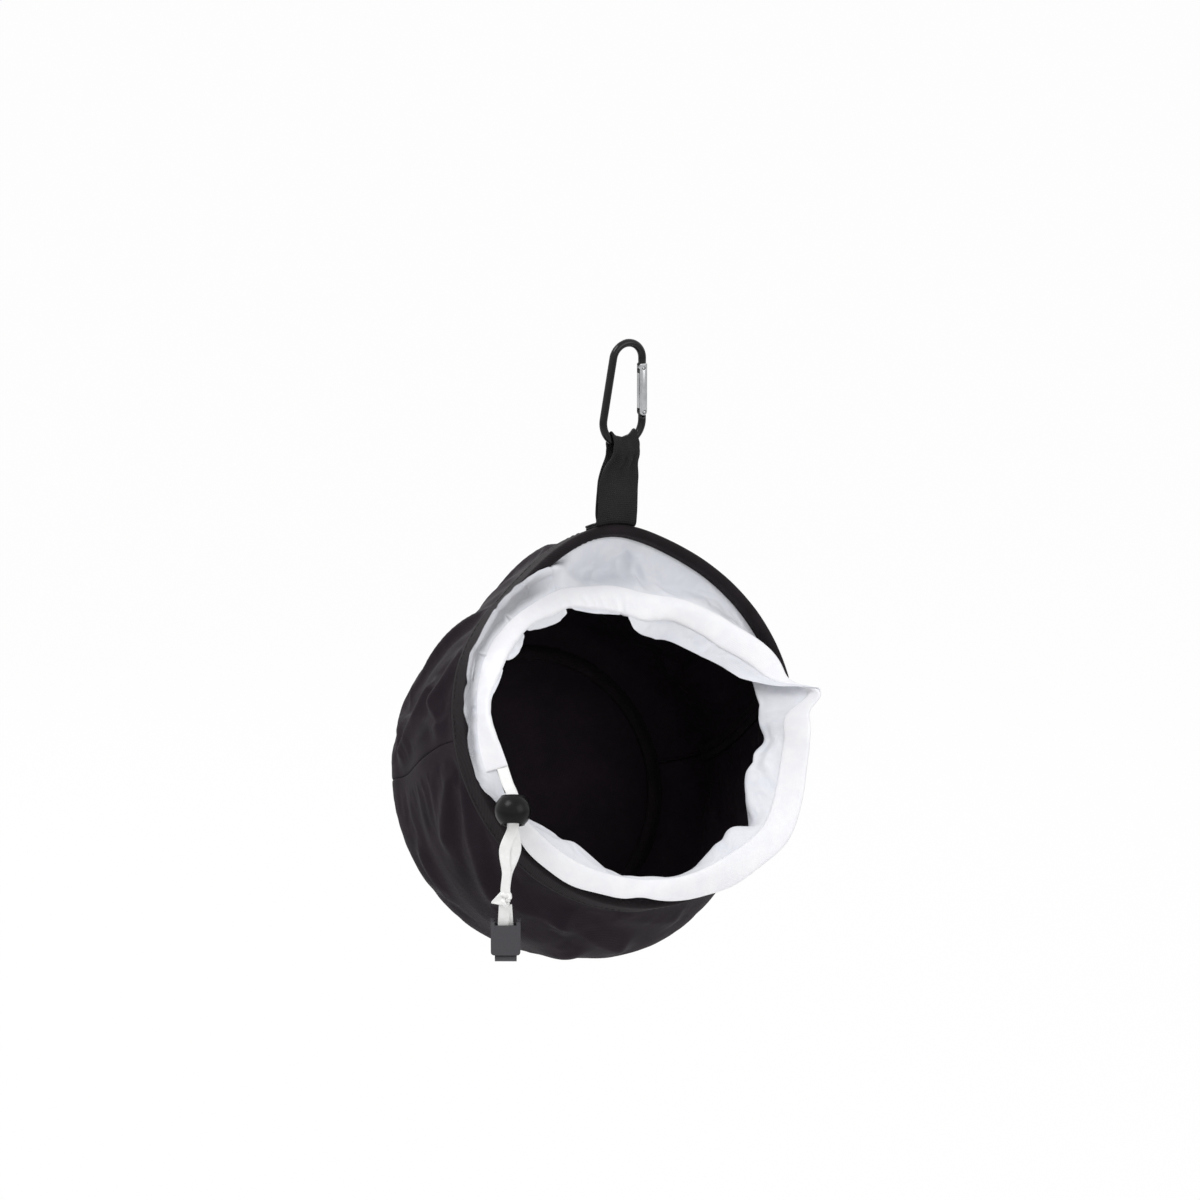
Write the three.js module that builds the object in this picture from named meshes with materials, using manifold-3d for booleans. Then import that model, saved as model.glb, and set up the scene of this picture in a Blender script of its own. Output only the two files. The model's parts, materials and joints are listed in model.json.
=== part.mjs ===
// Peg bag on a snap hook: a soft drum of black fabric held open by a hooped rim, with a white drawstring
// collar, a webbing loop, a ball stop on the drawstring and a fold-over cord end.
// Millimetres, +Z up. The origin is the inside top of the hook, where it rests on a rail.
import * as THREE from "three";
import Module from "manifold-3d";

const wasm = await Module();
wasm.setup();

// Clearance between pieces that touch, and between pieces that slide on each other.
const FIT = 0.3;

// Hook: a bent rod with a sprung gate.
const ROD_DIAMETER = 4.2;
const HOOK_LENGTH = 58;
const LOWER_BOW_WIDTH = 28;
const UPPER_BOW_WIDTH = 22;
const HINGE_STUB = 1;
const NOSE_STUB = 2.5;
const TONGUE_WIDTH = 3.8;
const TONGUE_THICKNESS = 2.2;
const NOSE_LENGTH = 4.6;
const GATE_DIAMETER = 5.4;
const GATE_CHAMFER = 0.4;
const HINGE_PIN_DIAMETER = 1.6;
const LATCH_PIN_DIAMETER = 1.3;
const LATCH_PIN_DROP = 2.4;
const LATCH_PIN_INSET = 0.4;
const SLOT_FLOOR_GAP = 0.5;
const GATE_BORE_DIAMETER = 3;
const GATE_BORE_LENGTH = 14;
const PLUNGER_LENGTH = 5;
const GATE_SPRING_WIRE = 0.5;
const GATE_SPRING_TURNS = 8;

// Rim and drum.
const RIM_DIAMETER = 200;
const LOOP_ANGLE = 7;
const RIM_PEAK = 4.5;
const RIM_PEAK_HALF_ANGLE = 16;
const LEFT_SHOULDER_FLAT = 5;
const RIGHT_SHOULDER_FLAT = 0.5;
const SHOULDER_ANGLE = 42;
const SHOULDER_HALF_ANGLE = 20;
const OPENING_ELEVATION = 22.3;
const BINDING_THICKNESS = 1.1;
const BINDING_WIDTH = 16;
const HOOP_DIAMETER = 3;
const WALL_THICKNESS = 1.2;
const BAG_DEPTH = 119;
const BASE_DIAMETER = 192;
const BASE_CORNER_RADIUS = 20;
const BASE_DROOP = 19;
const WALL_BULGE = 3;
const WALL_SAG = 9;
const CREASE_HEIGHT = 3;
const CREASE_WIDTH = 9;
const CREASE_FADE_SHARE = 0.1;
const SEAM_TAPE_WIDTH = 9;
const SEAM_TAPE_THICKNESS = 0.9;
const SEAM_TAPE_START = 8;
const BASE_BINDING_WIDTH = 8;

// Collar, hem and drawstring.
const COLLAR_THICKNESS = 0.9;
const HEM_WIDTH = 13;
const HEM_THICKNESS = 4;
const HEM_WALL = 0.7;
const FOLD_COUNT = 9;
const FOLD_DEPTH = 1.4;
const RIBBON_WIDTH = 6;
const RIBBON_THICKNESS = 0.6;
const EXIT_ANGLE = 256;
const EXIT_GAP = 16;

// Creases of the slack walls, each a straight line on the cloth: from an angle and a share of the depth, to
// an angle and a share, and its part of the full height. Those of the right and top are like the left's.
const WALL_CREASES = [
  [317, 0.12, 306, 0.95, 1],
  [300, 0.06, 288, 0.26, 0.8],
  [295, 0.4, 286, 0.85, 1],
  [288, 0.24, 280, 0.2, 0.7],
  [262, 0.2, 251, 0.45, 0.8],
  [257, 0.06, 228, 0.4, 1],
  [252, 0.88, 238, 0.95, 0.8],
  [222, 0.33, 206, 0.23, 0.9],
  [206, 0.23, 172, 0.5, 1],
  [204, 0.9, 196, 0.5, 0.7],
  [190, 0.12, 168, 0.26, 0.7],
  [150, 0.1, 128, 0.42, 1],
  [118, 0.2, 104, 0.5, 0.8],
  [122, 0.6, 112, 0.9, 0.9],
  [72, 0.1, 78, 0.6, 0.9],
  [52, 0.15, 60, 0.85, 1],
  [28, 0.1, 20, 0.9, 1],
  [350, 0.1, 342, 0.85, 0.9],
];

// Collar shape every 20 degrees clockwise from the top of the rim, seen from the front: how far its belly
// and its free edge lie inside the rim, and how far in front of the rim's plane, in hundredths of the
// rim's radius.
const COLLAR_SHAPE = [
  { bellyIn: 17, bellyOut: -25, edgeIn: 38, edgeOut: -10 },
  { bellyIn: 17, bellyOut: -20, edgeIn: 47, edgeOut: -12 },
  { bellyIn: 20, bellyOut: -9, edgeIn: 45, edgeOut: -11 },
  { bellyIn: 16, bellyOut: -2, edgeIn: 38, edgeOut: -7 },
  { bellyIn: 16, bellyOut: 3, edgeIn: 28, edgeOut: 7 },
  { bellyIn: 22, bellyOut: 0, edgeIn: 4, edgeOut: 25 },
  { bellyIn: 23, bellyOut: 2, edgeIn: 2, edgeOut: 24 },
  { bellyIn: 15, bellyOut: 6, edgeIn: -3, edgeOut: 22 },
  { bellyIn: 12, bellyOut: 9, edgeIn: -2, edgeOut: 13 },
  { bellyIn: 11, bellyOut: 10, edgeIn: -1, edgeOut: 11 },
  { bellyIn: 11, bellyOut: 9, edgeIn: -1, edgeOut: 10 },
  { bellyIn: 15, bellyOut: 6, edgeIn: -3, edgeOut: 9 },
  { bellyIn: 13, bellyOut: -2, edgeIn: 4, edgeOut: 10 },
  { bellyIn: 9, bellyOut: -12, edgeIn: 6, edgeOut: 14 },
  { bellyIn: 10, bellyOut: -22, edgeIn: 9, edgeOut: 6 },
  { bellyIn: 12, bellyOut: -25, edgeIn: 16, edgeOut: 0 },
  { bellyIn: 14, bellyOut: -26, edgeIn: 18, edgeOut: -5 },
  { bellyIn: 16, bellyOut: -26, edgeIn: 27, edgeOut: -9 },
];

// Webbing loop between the hook and the rim.
const WEBBING_WIDTH = 24;
const WEBBING_BUNCHED_WIDTH = 13;
const WEBBING_THICKNESS = 1.5;
const LOOP_LENGTH = 46;
const LOOP_LEAN = 4;
const LOOP_TAIL = 14;
const LOOP_ARCH_RADIUS = 4.8;
const LOOP_LEG_GAP = 0.9;
const LOOP_CLEARANCE = 0.6;
const BUNCH_START = 3;
const BUNCH_END = 17;

// Ball stop that grips the drawstring's tails.
const BALL_DIAMETER = 18.8;
const BALL_HOLE_DIAMETER = 10;
const BALL_HOLE_FLARE = 0.8;
const BALL_TILT = 27;
const BALL_LEFT = 5;
const BALL_FORWARD = 17;
const BALL_DROP = 9.5;
const BALL_YAW = -31;

// Drawstring tails, knot and fold-over cord end.
const TAIL_LENGTH = 46;
const TAIL_SPREAD = 2.6;
const TAIL_DRIFT = 4;
const TAIL_ELBOW = 1.5;
const TAIL_START = 0.95;
const KNOT_DIAMETER = 9;
const KNOT_LENGTH = 10;
const KNOT_SKEW = 0.125;
const CORD_END_DROP = 13;
const LEAF_WIDTH = 15.3;
const LEAF_LENGTH = 18;
const LEAF_THICKNESS = 3.4;
const LEAF_WALL = 1.5;
const LEAF_HORN = 2;
const ROLL_DIAMETER = 4;
const TOOTH_COUNT = 3;
const TOOTH_WIDTH = 1.6;
const RIBBON_END_DEPTH = 12;

// Facet counts.
const ROD_SIDES = 10;
const BOW_STEPS = 18;
const BAR_SIDES = 16;
const PIN_SIDES = 12;
const GATE_SIDES = 20;
const CAP_STEPS = 5;
const HOOP_SIDES = 6;
const RIM_STEPS = 60;
const CROWN_STEPS = 4;
const PANEL_STEPS = 36;
const WALL_STEPS = 12;
const CORNER_STEPS = 3;
const BASE_STEPS = 64;
const COLLAR_STEPS = 68;
const COLLAR_POINTS = 6;
const HEM_STEPS = 66;
const LOOP_STEPS = 52;
const BALL_SIDES = 28;
const BALL_STEPS = 12;
const TAIL_STEPS = 28;
const KNOT_SIDES = 14;
const KNOT_STEPS = 8;
const LEAF_CORNER_STEPS = 5;
const SPRING_STEPS = 8;
const SPRING_SIDES = 5;

// Points nearer than this are one point.
const WELD = 1e-5;

const FABRIC = new THREE.MeshStandardMaterial({ color: 0x231f20, roughness: 0.9, metalness: 0 });
const TWILL = new THREE.MeshStandardMaterial({ color: 0x1c1a1b, roughness: 0.85, metalness: 0 });
const WEBBING = new THREE.MeshStandardMaterial({ color: 0x191819, roughness: 0.8, metalness: 0 });
const VOILE = new THREE.MeshStandardMaterial({ color: 0xe6e8f0, roughness: 0.9, metalness: 0 });
const RIBBON = new THREE.MeshStandardMaterial({ color: 0xf4f4f5, roughness: 0.7, metalness: 0 });
const BLACK_COAT = new THREE.MeshStandardMaterial({ color: 0x131314, roughness: 0.35, metalness: 0.2 });
const PLATED = new THREE.MeshStandardMaterial({ color: 0xc4c6c8, roughness: 0.25, metalness: 1 });
const SPRING_STEEL = new THREE.MeshStandardMaterial({ color: 0x8d8f92, roughness: 0.35, metalness: 1 });
const BLACK_PLASTIC = new THREE.MeshStandardMaterial({ color: 0x161616, roughness: 0.5, metalness: 0 });
const GREY_PLASTIC = new THREE.MeshStandardMaterial({ color: 0x3d3b3f, roughness: 0.5, metalness: 0 });

const UP = new THREE.Vector3(0, 0, 1);
const vec = (x, y, z) => new THREE.Vector3(x, y, z);
const radians = THREE.MathUtils.degToRad;
const lerp = THREE.MathUtils.lerp;

// A named piece.
function piece(name, geometry, material) {
  const mesh = new THREE.Mesh(geometry, material);
  mesh.name = name;
  return mesh;
}

// Closed solid from a position list and triangles, turned inside out if its volume came out negative.
function closedSolid(points, triangles) {
  let volume = 0;
  for (let i = 0; i < triangles.length; i += 3) {
    const [a, b, c] = [points[triangles[i]], points[triangles[i + 1]], points[triangles[i + 2]]];
    volume += a.dot(vec(0, 0, 0).crossVectors(b, c));
  }
  const index = volume < 0 ? triangles.slice().reverse() : triangles;
  const geometry = new THREE.BufferGeometry().setFromPoints(points);
  geometry.setIndex(index);
  geometry.computeVertexNormals();
  return geometry;
}

// Side triangles between rows of points; each row is a closed ring of the same count.
function sideTriangles(rows, count, closed, start = 0) {
  const triangles = [];
  const spans = closed ? rows : rows - 1;
  for (let i = 0; i < spans; i += 1) {
    const here = start + i * count;
    const next = start + ((i + 1) % rows) * count;
    for (let j = 0; j < count; j += 1) {
      const k = (j + 1) % count;
      triangles.push(here + j, here + k, next + k, here + j, next + k, next + j);
    }
  }
  return triangles;
}

// Solid through rings. An open row of rings is capped by zipping each end ring from its first point.
function loft(rings, closed = false) {
  const count = rings[0].length;
  const triangles = sideTriangles(rings.length, count, closed);
  if (!closed) {
    const last = (rings.length - 1) * count;
    for (let low = 0, high = count - 1; low + 1 < high; low += 1, high -= 1) {
      triangles.push(low + 1, low, high, last + low, last + low + 1, last + high);
      if (low + 1 < high - 1) {
        triangles.push(low + 1, high, high - 1, last + low + 1, last + high - 1, last + high);
      }
    }
  }
  return closedSolid(rings.flat(), triangles);
}

// Pipe between outer and inner rings of the same counts, with ring-shaped ends.
function pipe(outer, inner) {
  const count = outer[0].length;
  const rows = outer.length;
  const total = rows * count;
  const triangles = sideTriangles(rows, count, false);
  const bore = sideTriangles(rows, count, false, total);
  triangles.push(...bore.reverse());
  for (let j = 0; j < count; j += 1) {
    const k = (j + 1) % count;
    const end = (rows - 1) * count;
    triangles.push(k, j, total + j, k, total + j, total + k);
    triangles.push(end + j, end + k, total + end + k, end + j, total + end + k, total + end + j);
  }
  return closedSolid([...outer.flat(), ...inner.flat()], triangles);
}

// Boolean of two geometries through the solid library.
function toManifold(geometry) {
  const position = geometry.getAttribute("position");
  const keys = new Map();
  const vertices = [];
  const slot = [];
  for (let i = 0; i < position.count; i += 1) {
    const point = [position.getX(i), position.getY(i), position.getZ(i)];
    const key = point.map((value) => Math.round(value / WELD) || 0).join();
    if (!keys.has(key)) {
      keys.set(key, keys.size);
      vertices.push(...point);
    }
    slot.push(keys.get(key));
  }
  const index = geometry.index ? [...geometry.index.array] : slot.map((_, i) => i);
  const triangles = [];
  for (let i = 0; i < index.length; i += 3) {
    const corner = [slot[index[i]], slot[index[i + 1]], slot[index[i + 2]]];
    if (new Set(corner).size === corner.length) {
      triangles.push(...corner);
    }
  }
  const vertProperties = new Float32Array(vertices);
  const triVerts = new Uint32Array(triangles);
  return new wasm.Manifold(new wasm.Mesh({ numProp: 3, vertProperties, triVerts }));
}

function fromManifold(solid) {
  const mesh = solid.getMesh();
  const geometry = new THREE.BufferGeometry();
  geometry.setAttribute("position", new THREE.BufferAttribute(new Float32Array(mesh.vertProperties), 3));
  geometry.setIndex([...mesh.triVerts]);
  geometry.computeVertexNormals();
  return geometry;
}

function cut(body, tools) {
  let solid = toManifold(body);
  for (const tool of tools) {
    solid = solid.subtract(toManifold(tool));
  }
  return fromManifold(solid);
}

function join(bodies) {
  let solid = toManifold(bodies[0]);
  for (const body of bodies.slice(1)) {
    solid = solid.add(toManifold(body));
  }
  return fromManifold(solid);
}

// Round bar along X, Y or Z, centred on a point.
function bar(axis, diameter, length, centre, sides = BAR_SIDES) {
  const geometry = new THREE.CylinderGeometry(diameter / 2, diameter / 2, length, sides);
  if (axis === "x") {
    geometry.rotateZ(Math.PI / 2);
  }
  if (axis === "z") {
    geometry.rotateX(Math.PI / 2);
  }
  return geometry.translate(centre.x, centre.y, centre.z);
}

// Flat plate of an outline in the XY plane, standing on Z = 0.
function plate(outline, depth, curveSegments) {
  return new THREE.ExtrudeGeometry(outline, { depth, bevelEnabled: false, curveSegments });
}

// Block between two corners.
function block(low, high) {
  const size = high.clone().sub(low);
  const middle = high.clone().add(low).multiplyScalar(1 / 2);
  return new THREE.BoxGeometry(size.x, size.y, size.z).translate(middle.x, middle.y, middle.z);
}

// Round tube of one wire along points, with a cross direction for each point.
function wire(points, crosses, diameter, sides, closed = false) {
  const rings = points.map((point, i) => {
    const before = points[closed ? (i + points.length - 1) % points.length : Math.max(i - 1, 0)];
    const after = points[closed ? (i + 1) % points.length : Math.min(i + 1, points.length - 1)];
    const along = after.clone().sub(before).normalize();
    const side = vec(0, 0, 0).crossVectors(crosses[i], along).normalize();
    const cross = vec(0, 0, 0).crossVectors(along, side);
    return Array.from({ length: sides }, (_, j) => {
      const turn = (2 * Math.PI * j) / sides;
      const offset = side.clone().multiplyScalar((Math.cos(turn) * diameter) / 2);
      return point.clone().add(offset).addScaledVector(cross, (Math.sin(turn) * diameter) / 2);
    });
  });
  return loft(rings, closed);
}

// Coil spring along +Z from the origin. Prints the least gap between one turn and the next.
function coil(label, meanDiameter, wireDiameter, length, turns) {
  const steps = turns * SPRING_STEPS;
  const rise = length - wireDiameter;
  const points = [];
  const crosses = [];
  for (let i = 0; i <= steps; i += 1) {
    const turn = (2 * Math.PI * i) / SPRING_STEPS;
    const outward = vec(Math.cos(turn), Math.sin(turn), 0);
    points.push(outward.clone().multiplyScalar(meanDiameter / 2).setZ(wireDiameter / 2 + (rise * i) / steps));
    crosses.push(outward);
  }
  let gap = Infinity;
  for (let i = 0; i < points.length; i += 1) {
    for (let j = i + SPRING_STEPS / 2; j < points.length; j += 1) {
      gap = Math.min(gap, points[i].distanceTo(points[j]) - wireDiameter);
    }
  }
  console.log(`${label}: least gap between turns ${gap.toFixed(2)} mm`);
  return wire(points, crosses, wireDiameter, SPRING_SIDES);
}

// HOOK
const rodRadius = ROD_DIAMETER / 2;
const lowerRadius = LOWER_BOW_WIDTH / 2 - rodRadius;
const upperRadius = UPPER_BOW_WIDTH / 2 - rodRadius;
const bowBottom = rodRadius - (HOOK_LENGTH - ROD_DIAMETER);
const lowerCentre = vec(0, 0, bowBottom + lowerRadius);
const gateX = lowerRadius;
const upperCentre = vec(gateX - upperRadius, 0, rodRadius - upperRadius);
const gateRadius = GATE_DIAMETER / 2;
const gateBottom = lowerCentre.z + HINGE_STUB + FIT;
const gateTop = upperCentre.z - NOSE_STUB - FIT;
const hingeZ = gateBottom + gateRadius;

// Rod centre line: hinge stub, lower bow, leaning spine, upper bow, nose stub.
function hookBody() {
  const span = upperCentre.clone().sub(lowerCentre);
  const lean = Math.atan2(span.z, span.x) + Math.acos((lowerRadius - upperRadius) / span.length());
  const points = [vec(gateX, 0, gateBottom - FIT)];
  const arc = (centre, radius, from, to) => {
    for (let i = 0; i <= BOW_STEPS; i += 1) {
      const turn = lerp(from, to, i / BOW_STEPS);
      points.push(vec(centre.x + radius * Math.cos(turn), 0, centre.z + radius * Math.sin(turn)));
    }
  };
  arc(lowerCentre, lowerRadius, 0, lean - 2 * Math.PI);
  arc(upperCentre, upperRadius, lean, 0);
  points.push(vec(gateX, 0, gateTop + FIT));
  const rod = wire(points, points.map(() => vec(0, 1, 0)), ROD_DIAMETER, ROD_SIDES);

  const half = TONGUE_WIDTH / 2;
  const foot = gateBottom - FIT - HINGE_STUB;
  const outline = new THREE.Shape();
  outline.moveTo(-half, foot - hingeZ);
  outline.lineTo(half, foot - hingeZ);
  outline.absarc(0, 0, half, 0, Math.PI, false);
  outline.closePath();
  const hinge = plate(outline, TONGUE_THICKNESS, PIN_SIDES);
  hinge.translate(0, 0, -TONGUE_THICKNESS / 2).rotateX(Math.PI / 2).translate(gateX, 0, hingeZ);
  const noseLow = vec(gateX - half, -TONGUE_THICKNESS / 2, gateTop - NOSE_LENGTH);
  const noseHigh = vec(gateX + half, TONGUE_THICKNESS / 2, gateTop + FIT + NOSE_STUB);
  const latchReach = LATCH_PIN_DIAMETER / 2 + FIT;
  const latchZ = gateTop - LATCH_PIN_DROP;
  const notchLow = vec(gateX - TONGUE_WIDTH, -TONGUE_THICKNESS, latchZ - latchReach);
  const notchHigh = vec(gateX - LATCH_PIN_INSET + latchReach, TONGUE_THICKNESS, latchZ + latchReach);
  const pinHole = bar("y", HINGE_PIN_DIAMETER + 2 * FIT, 2 * ROD_DIAMETER, vec(gateX, 0, hingeZ));
  return cut(join([rod, hinge, block(noseLow, noseHigh)]), [pinHole, block(notchLow, notchHigh)]);
}

const slotHalf = TONGUE_THICKNESS / 2 + FIT;
const hingeSlotTop = hingeZ + TONGUE_WIDTH / 2 + FIT;
const latchPoint = vec(gateX - LATCH_PIN_INSET, 0, gateTop - LATCH_PIN_DROP);

function gateBody() {
  const profile = [new THREE.Vector2(0, -gateRadius)];
  for (let i = 1; i <= CAP_STEPS; i += 1) {
    const turn = (Math.PI / 2) * (i / CAP_STEPS - 1);
    profile.push(new THREE.Vector2(gateRadius * Math.cos(turn), gateRadius * Math.sin(turn)));
  }
  const top = gateTop - hingeZ;
  profile.push(new THREE.Vector2(gateRadius, top - GATE_CHAMFER));
  profile.push(new THREE.Vector2(gateRadius - GATE_CHAMFER, top));
  profile.push(new THREE.Vector2(0, top));
  const body = new THREE.LatheGeometry(profile, GATE_SIDES).rotateX(Math.PI / 2).translate(gateX, 0, hingeZ);
  const wide = GATE_DIAMETER;
  const hingeSlot = block(
    vec(gateX - wide, -slotHalf, gateBottom - GATE_DIAMETER),
    vec(gateX + wide, slotHalf, hingeSlotTop),
  );
  const noseSlot = block(
    vec(gateX - wide, -slotHalf, gateTop - NOSE_LENGTH - SLOT_FLOOR_GAP),
    vec(gateX + wide, slotHalf, gateTop + GATE_DIAMETER),
  );
  const boreCentre = vec(gateX, 0, hingeSlotTop + GATE_BORE_LENGTH / 2 - FIT / 2);
  const bore = bar("z", GATE_BORE_DIAMETER, GATE_BORE_LENGTH + FIT, boreCentre);
  const pinHole = bar("y", HINGE_PIN_DIAMETER + 2 * FIT, 2 * GATE_DIAMETER, vec(gateX, 0, hingeZ));
  const latchHole = bar("y", LATCH_PIN_DIAMETER + 2 * FIT, 2 * GATE_DIAMETER, latchPoint, PIN_SIDES);
  return cut(body, [hingeSlot, noseSlot, bore, pinHole, latchHole]);
}

const plungerBottom = hingeZ + TONGUE_WIDTH / 2 + FIT;
const gateSpringBottom = plungerBottom + PLUNGER_LENGTH + FIT;
const gateSpringTop = hingeSlotTop + GATE_BORE_LENGTH - FIT;
const gateInner = GATE_BORE_DIAMETER - 2 * FIT;

const hook = new THREE.Group();
hook.add(piece("hook_body", hookBody(), BLACK_COAT));
hook.add(piece("gate", gateBody(), PLATED));
const hingePin = bar("y", HINGE_PIN_DIAMETER, GATE_DIAMETER, vec(gateX, 0, hingeZ), PIN_SIDES);
hook.add(piece("gate_hinge_pin", hingePin, PLATED));
const latchLength = 2 * Math.sqrt(gateRadius ** 2 - (LATCH_PIN_INSET + LATCH_PIN_DIAMETER / 2) ** 2);
const latchPin = bar("y", LATCH_PIN_DIAMETER, latchLength, latchPoint, PIN_SIDES);
hook.add(piece("gate_latch_pin", latchPin, PLATED));
const plungerCentre = vec(gateX, 0, plungerBottom + PLUNGER_LENGTH / 2);
hook.add(piece("gate_plunger", bar("z", gateInner, PLUNGER_LENGTH, plungerCentre, PIN_SIDES), PLATED));
const gateSpring = coil(
  "gate spring",
  gateInner - GATE_SPRING_WIRE,
  GATE_SPRING_WIRE,
  gateSpringTop - gateSpringBottom,
  GATE_SPRING_TURNS,
);
hook.add(piece("gate_spring", gateSpring.translate(gateX, 0, gateSpringBottom), SPRING_STEEL));

// RIM AND DRUM, in the bag's own frame: Z out of the opening, Y up the rim, angles clockwise from the top.
const bag = new THREE.Group();
const hoopRadius = HOOP_DIAMETER / 2;
const crownInner = Math.max(hoopRadius + FIT, (WALL_THICKNESS + COLLAR_THICKNESS + 3 * FIT) / 2);
const crownOuter = crownInner + BINDING_THICKNESS;
const crownZ = -crownOuter;
const layerTop = crownZ - hoopRadius - FIT;
const leafEnd = -BINDING_WIDTH;

// Radius of the hoop at an angle: a circle drawn up to a peak under the loop, with flatter shoulders.
function rimRadius(angle) {
  const wrapped = THREE.MathUtils.euclideanModulo(angle - LOOP_ANGLE + 180, 360) - 180;
  const peak = RIM_PEAK * Math.exp(-((wrapped / RIM_PEAK_HALF_ANGLE) ** 2));
  const beside = (Math.abs(wrapped) - SHOULDER_ANGLE) / SHOULDER_HALF_ANGLE;
  const flat = wrapped < 0 ? LEFT_SHOULDER_FLAT : RIGHT_SHOULDER_FLAT;
  return RIM_DIAMETER / 2 - crownOuter + peak - flat * Math.exp(-(beside ** 2));
}

function polar(angle, radius, z, drop = 0) {
  const turn = radians(angle);
  return vec(radius * Math.sin(turn), radius * Math.cos(turn) - drop, z);
}

// Ring of sections around the rim: section(angle) gives [radius offset from the hoop, z] pairs.
function rimRing(section) {
  return Array.from({ length: RIM_STEPS }, (_, i) => {
    const angle = (360 * i) / RIM_STEPS;
    return section.map(([offset, z]) => polar(angle, rimRadius(angle) + offset, z));
  });
}

function bindingSection() {
  const outer = [[crownOuter, leafEnd]];
  const inner = [[crownInner, leafEnd]];
  for (let i = 0; i <= CROWN_STEPS; i += 1) {
    const turn = (Math.PI * i) / CROWN_STEPS;
    outer.push([crownOuter * Math.cos(turn), crownZ + crownOuter * Math.sin(turn)]);
    inner.push([crownInner * Math.cos(turn), crownZ + crownInner * Math.sin(turn)]);
  }
  outer.push([-crownOuter, leafEnd]);
  inner.push([-crownInner, leafEnd]);
  return [...outer, ...inner.reverse()];
}

function hoopSection() {
  return Array.from({ length: HOOP_SIDES }, (_, i) => {
    const turn = (2 * Math.PI * i) / HOOP_SIDES;
    return [hoopRadius * Math.cos(turn), crownZ + hoopRadius * Math.sin(turn)];
  });
}

// Wall centre line at an angle, from inside the binding to the edge of the base: radius, z and droop.
const wallStart = leafEnd - FIT;
const cornerStart = -(BAG_DEPTH - BASE_CORNER_RADIUS);
const baseRadius = (BASE_DIAMETER - WALL_THICKNESS) / 2;
const cornerRadius = BASE_CORNER_RADIUS - WALL_THICKNESS / 2;

// How far the creases lift the wall at an angle and a share of its depth: ridges with shallow valleys beside.
function creaseLift(angle, share) {
  const depth = wallStart - cornerStart;
  let lift = 0;
  for (const [fromAngle, fromShare, toAngle, toShare, part] of WALL_CREASES) {
    const turn = THREE.MathUtils.euclideanModulo(angle - fromAngle + 180, 360) - 180;
    const here = new THREE.Vector2(radians(turn) * baseRadius, (share - fromShare) * depth);
    const line = new THREE.Vector2(radians(toAngle - fromAngle) * baseRadius, (toShare - fromShare) * depth);
    const along = THREE.MathUtils.clamp(here.dot(line) / line.lengthSq(), 0, 1);
    const away = (here.distanceTo(line.multiplyScalar(along)) / CREASE_WIDTH) ** 2;
    lift += part * CREASE_HEIGHT * (1 - away) * Math.exp(-away);
  }
  const { smoothstep } = THREE.MathUtils;
  return lift * smoothstep(share, 0, CREASE_FADE_SHARE) * smoothstep(1 - share, 0, CREASE_FADE_SHARE);
}

function wallLine(angle) {
  const seat = rimRadius(angle) + crownInner - FIT - WALL_THICKNESS / 2;
  const below = Math.max(0, -Math.cos(radians(angle))) ** 2;
  const swell = WALL_BULGE + WALL_SAG * below;
  const line = [{ radius: seat, z: layerTop, drop: 0 }];
  for (let i = 0; i <= WALL_STEPS; i += 1) {
    const share = i / WALL_STEPS;
    const ease = share * share * (3 - 2 * share);
    const bulge = swell * Math.sin(Math.PI * share) ** 2;
    const radius = lerp(seat, baseRadius, ease) + bulge + creaseLift(angle, share);
    line.push({ radius, z: lerp(wallStart, cornerStart, share), drop: BASE_DROOP * ease });
  }
  for (let i = 1; i <= CORNER_STEPS; i += 1) {
    const turn = (Math.PI / 2) * (i / CORNER_STEPS);
    const radius = baseRadius - cornerRadius * (1 - Math.cos(turn));
    line.push({ radius, z: cornerStart - cornerRadius * Math.sin(turn), drop: BASE_DROOP });
  }
  return line;
}

// Wall section at an angle moved off its centre line along its own normal.
function wallOffset(angle, offset) {
  const line = wallLine(angle);
  return line.map((here, i) => {
    const before = line[Math.max(i - 1, 0)];
    const after = line[Math.min(i + 1, line.length - 1)];
    const normal = new THREE.Vector2(before.z - after.z, after.radius - before.radius).normalize();
    if (i === line.length - 1) {
      normal.set(0, -1);
    }
    return polar(angle, here.radius + normal.x * offset, here.z + normal.y * offset, here.drop);
  });
}

// Wall panel between two angles, cut back by half a clearance at its seams.
function wallPanel(from, to) {
  const trim = THREE.MathUtils.radToDeg(FIT / baseRadius);
  const rings = [];
  for (let i = 0; i <= PANEL_STEPS; i += 1) {
    const angle = lerp(from + trim, to - trim, i / PANEL_STEPS);
    const outside = wallOffset(angle, WALL_THICKNESS / 2);
    rings.push([...outside, ...wallOffset(angle, -WALL_THICKNESS / 2).reverse()]);
  }
  return loft(rings);
}

// Tape sewn over a side seam on the inside, from below the collar to the base corner.
function seamTape(angle) {
  const outerOffset = -WALL_THICKNESS / 2 - FIT;
  const innerOffset = outerOffset - SEAM_TAPE_THICKNESS;
  const spread = THREE.MathUtils.radToDeg(SEAM_TAPE_WIDTH / 2 / baseRadius);
  const columns = [-spread, 0, spread].map((turn) => [
    wallOffset(angle + turn, outerOffset),
    wallOffset(angle + turn, innerOffset),
  ]);
  const rings = [];
  const last = columns[0][0].length - CORNER_STEPS;
  for (let i = 0; i < last; i += 1) {
    if (columns[0][0][i].z < leafEnd - SEAM_TAPE_START) {
      const outer = columns.map((column) => column[0][i]);
      const inner = columns.map((column) => column[1][i]);
      rings.push([...outer, ...inner.reverse()]);
    }
  }
  return loft(rings);
}

// Flat base and the binding that covers its seam on the inside.
const baseEdge = baseRadius - cornerRadius - FIT;
const baseTop = -BAG_DEPTH + WALL_THICKNESS;

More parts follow.
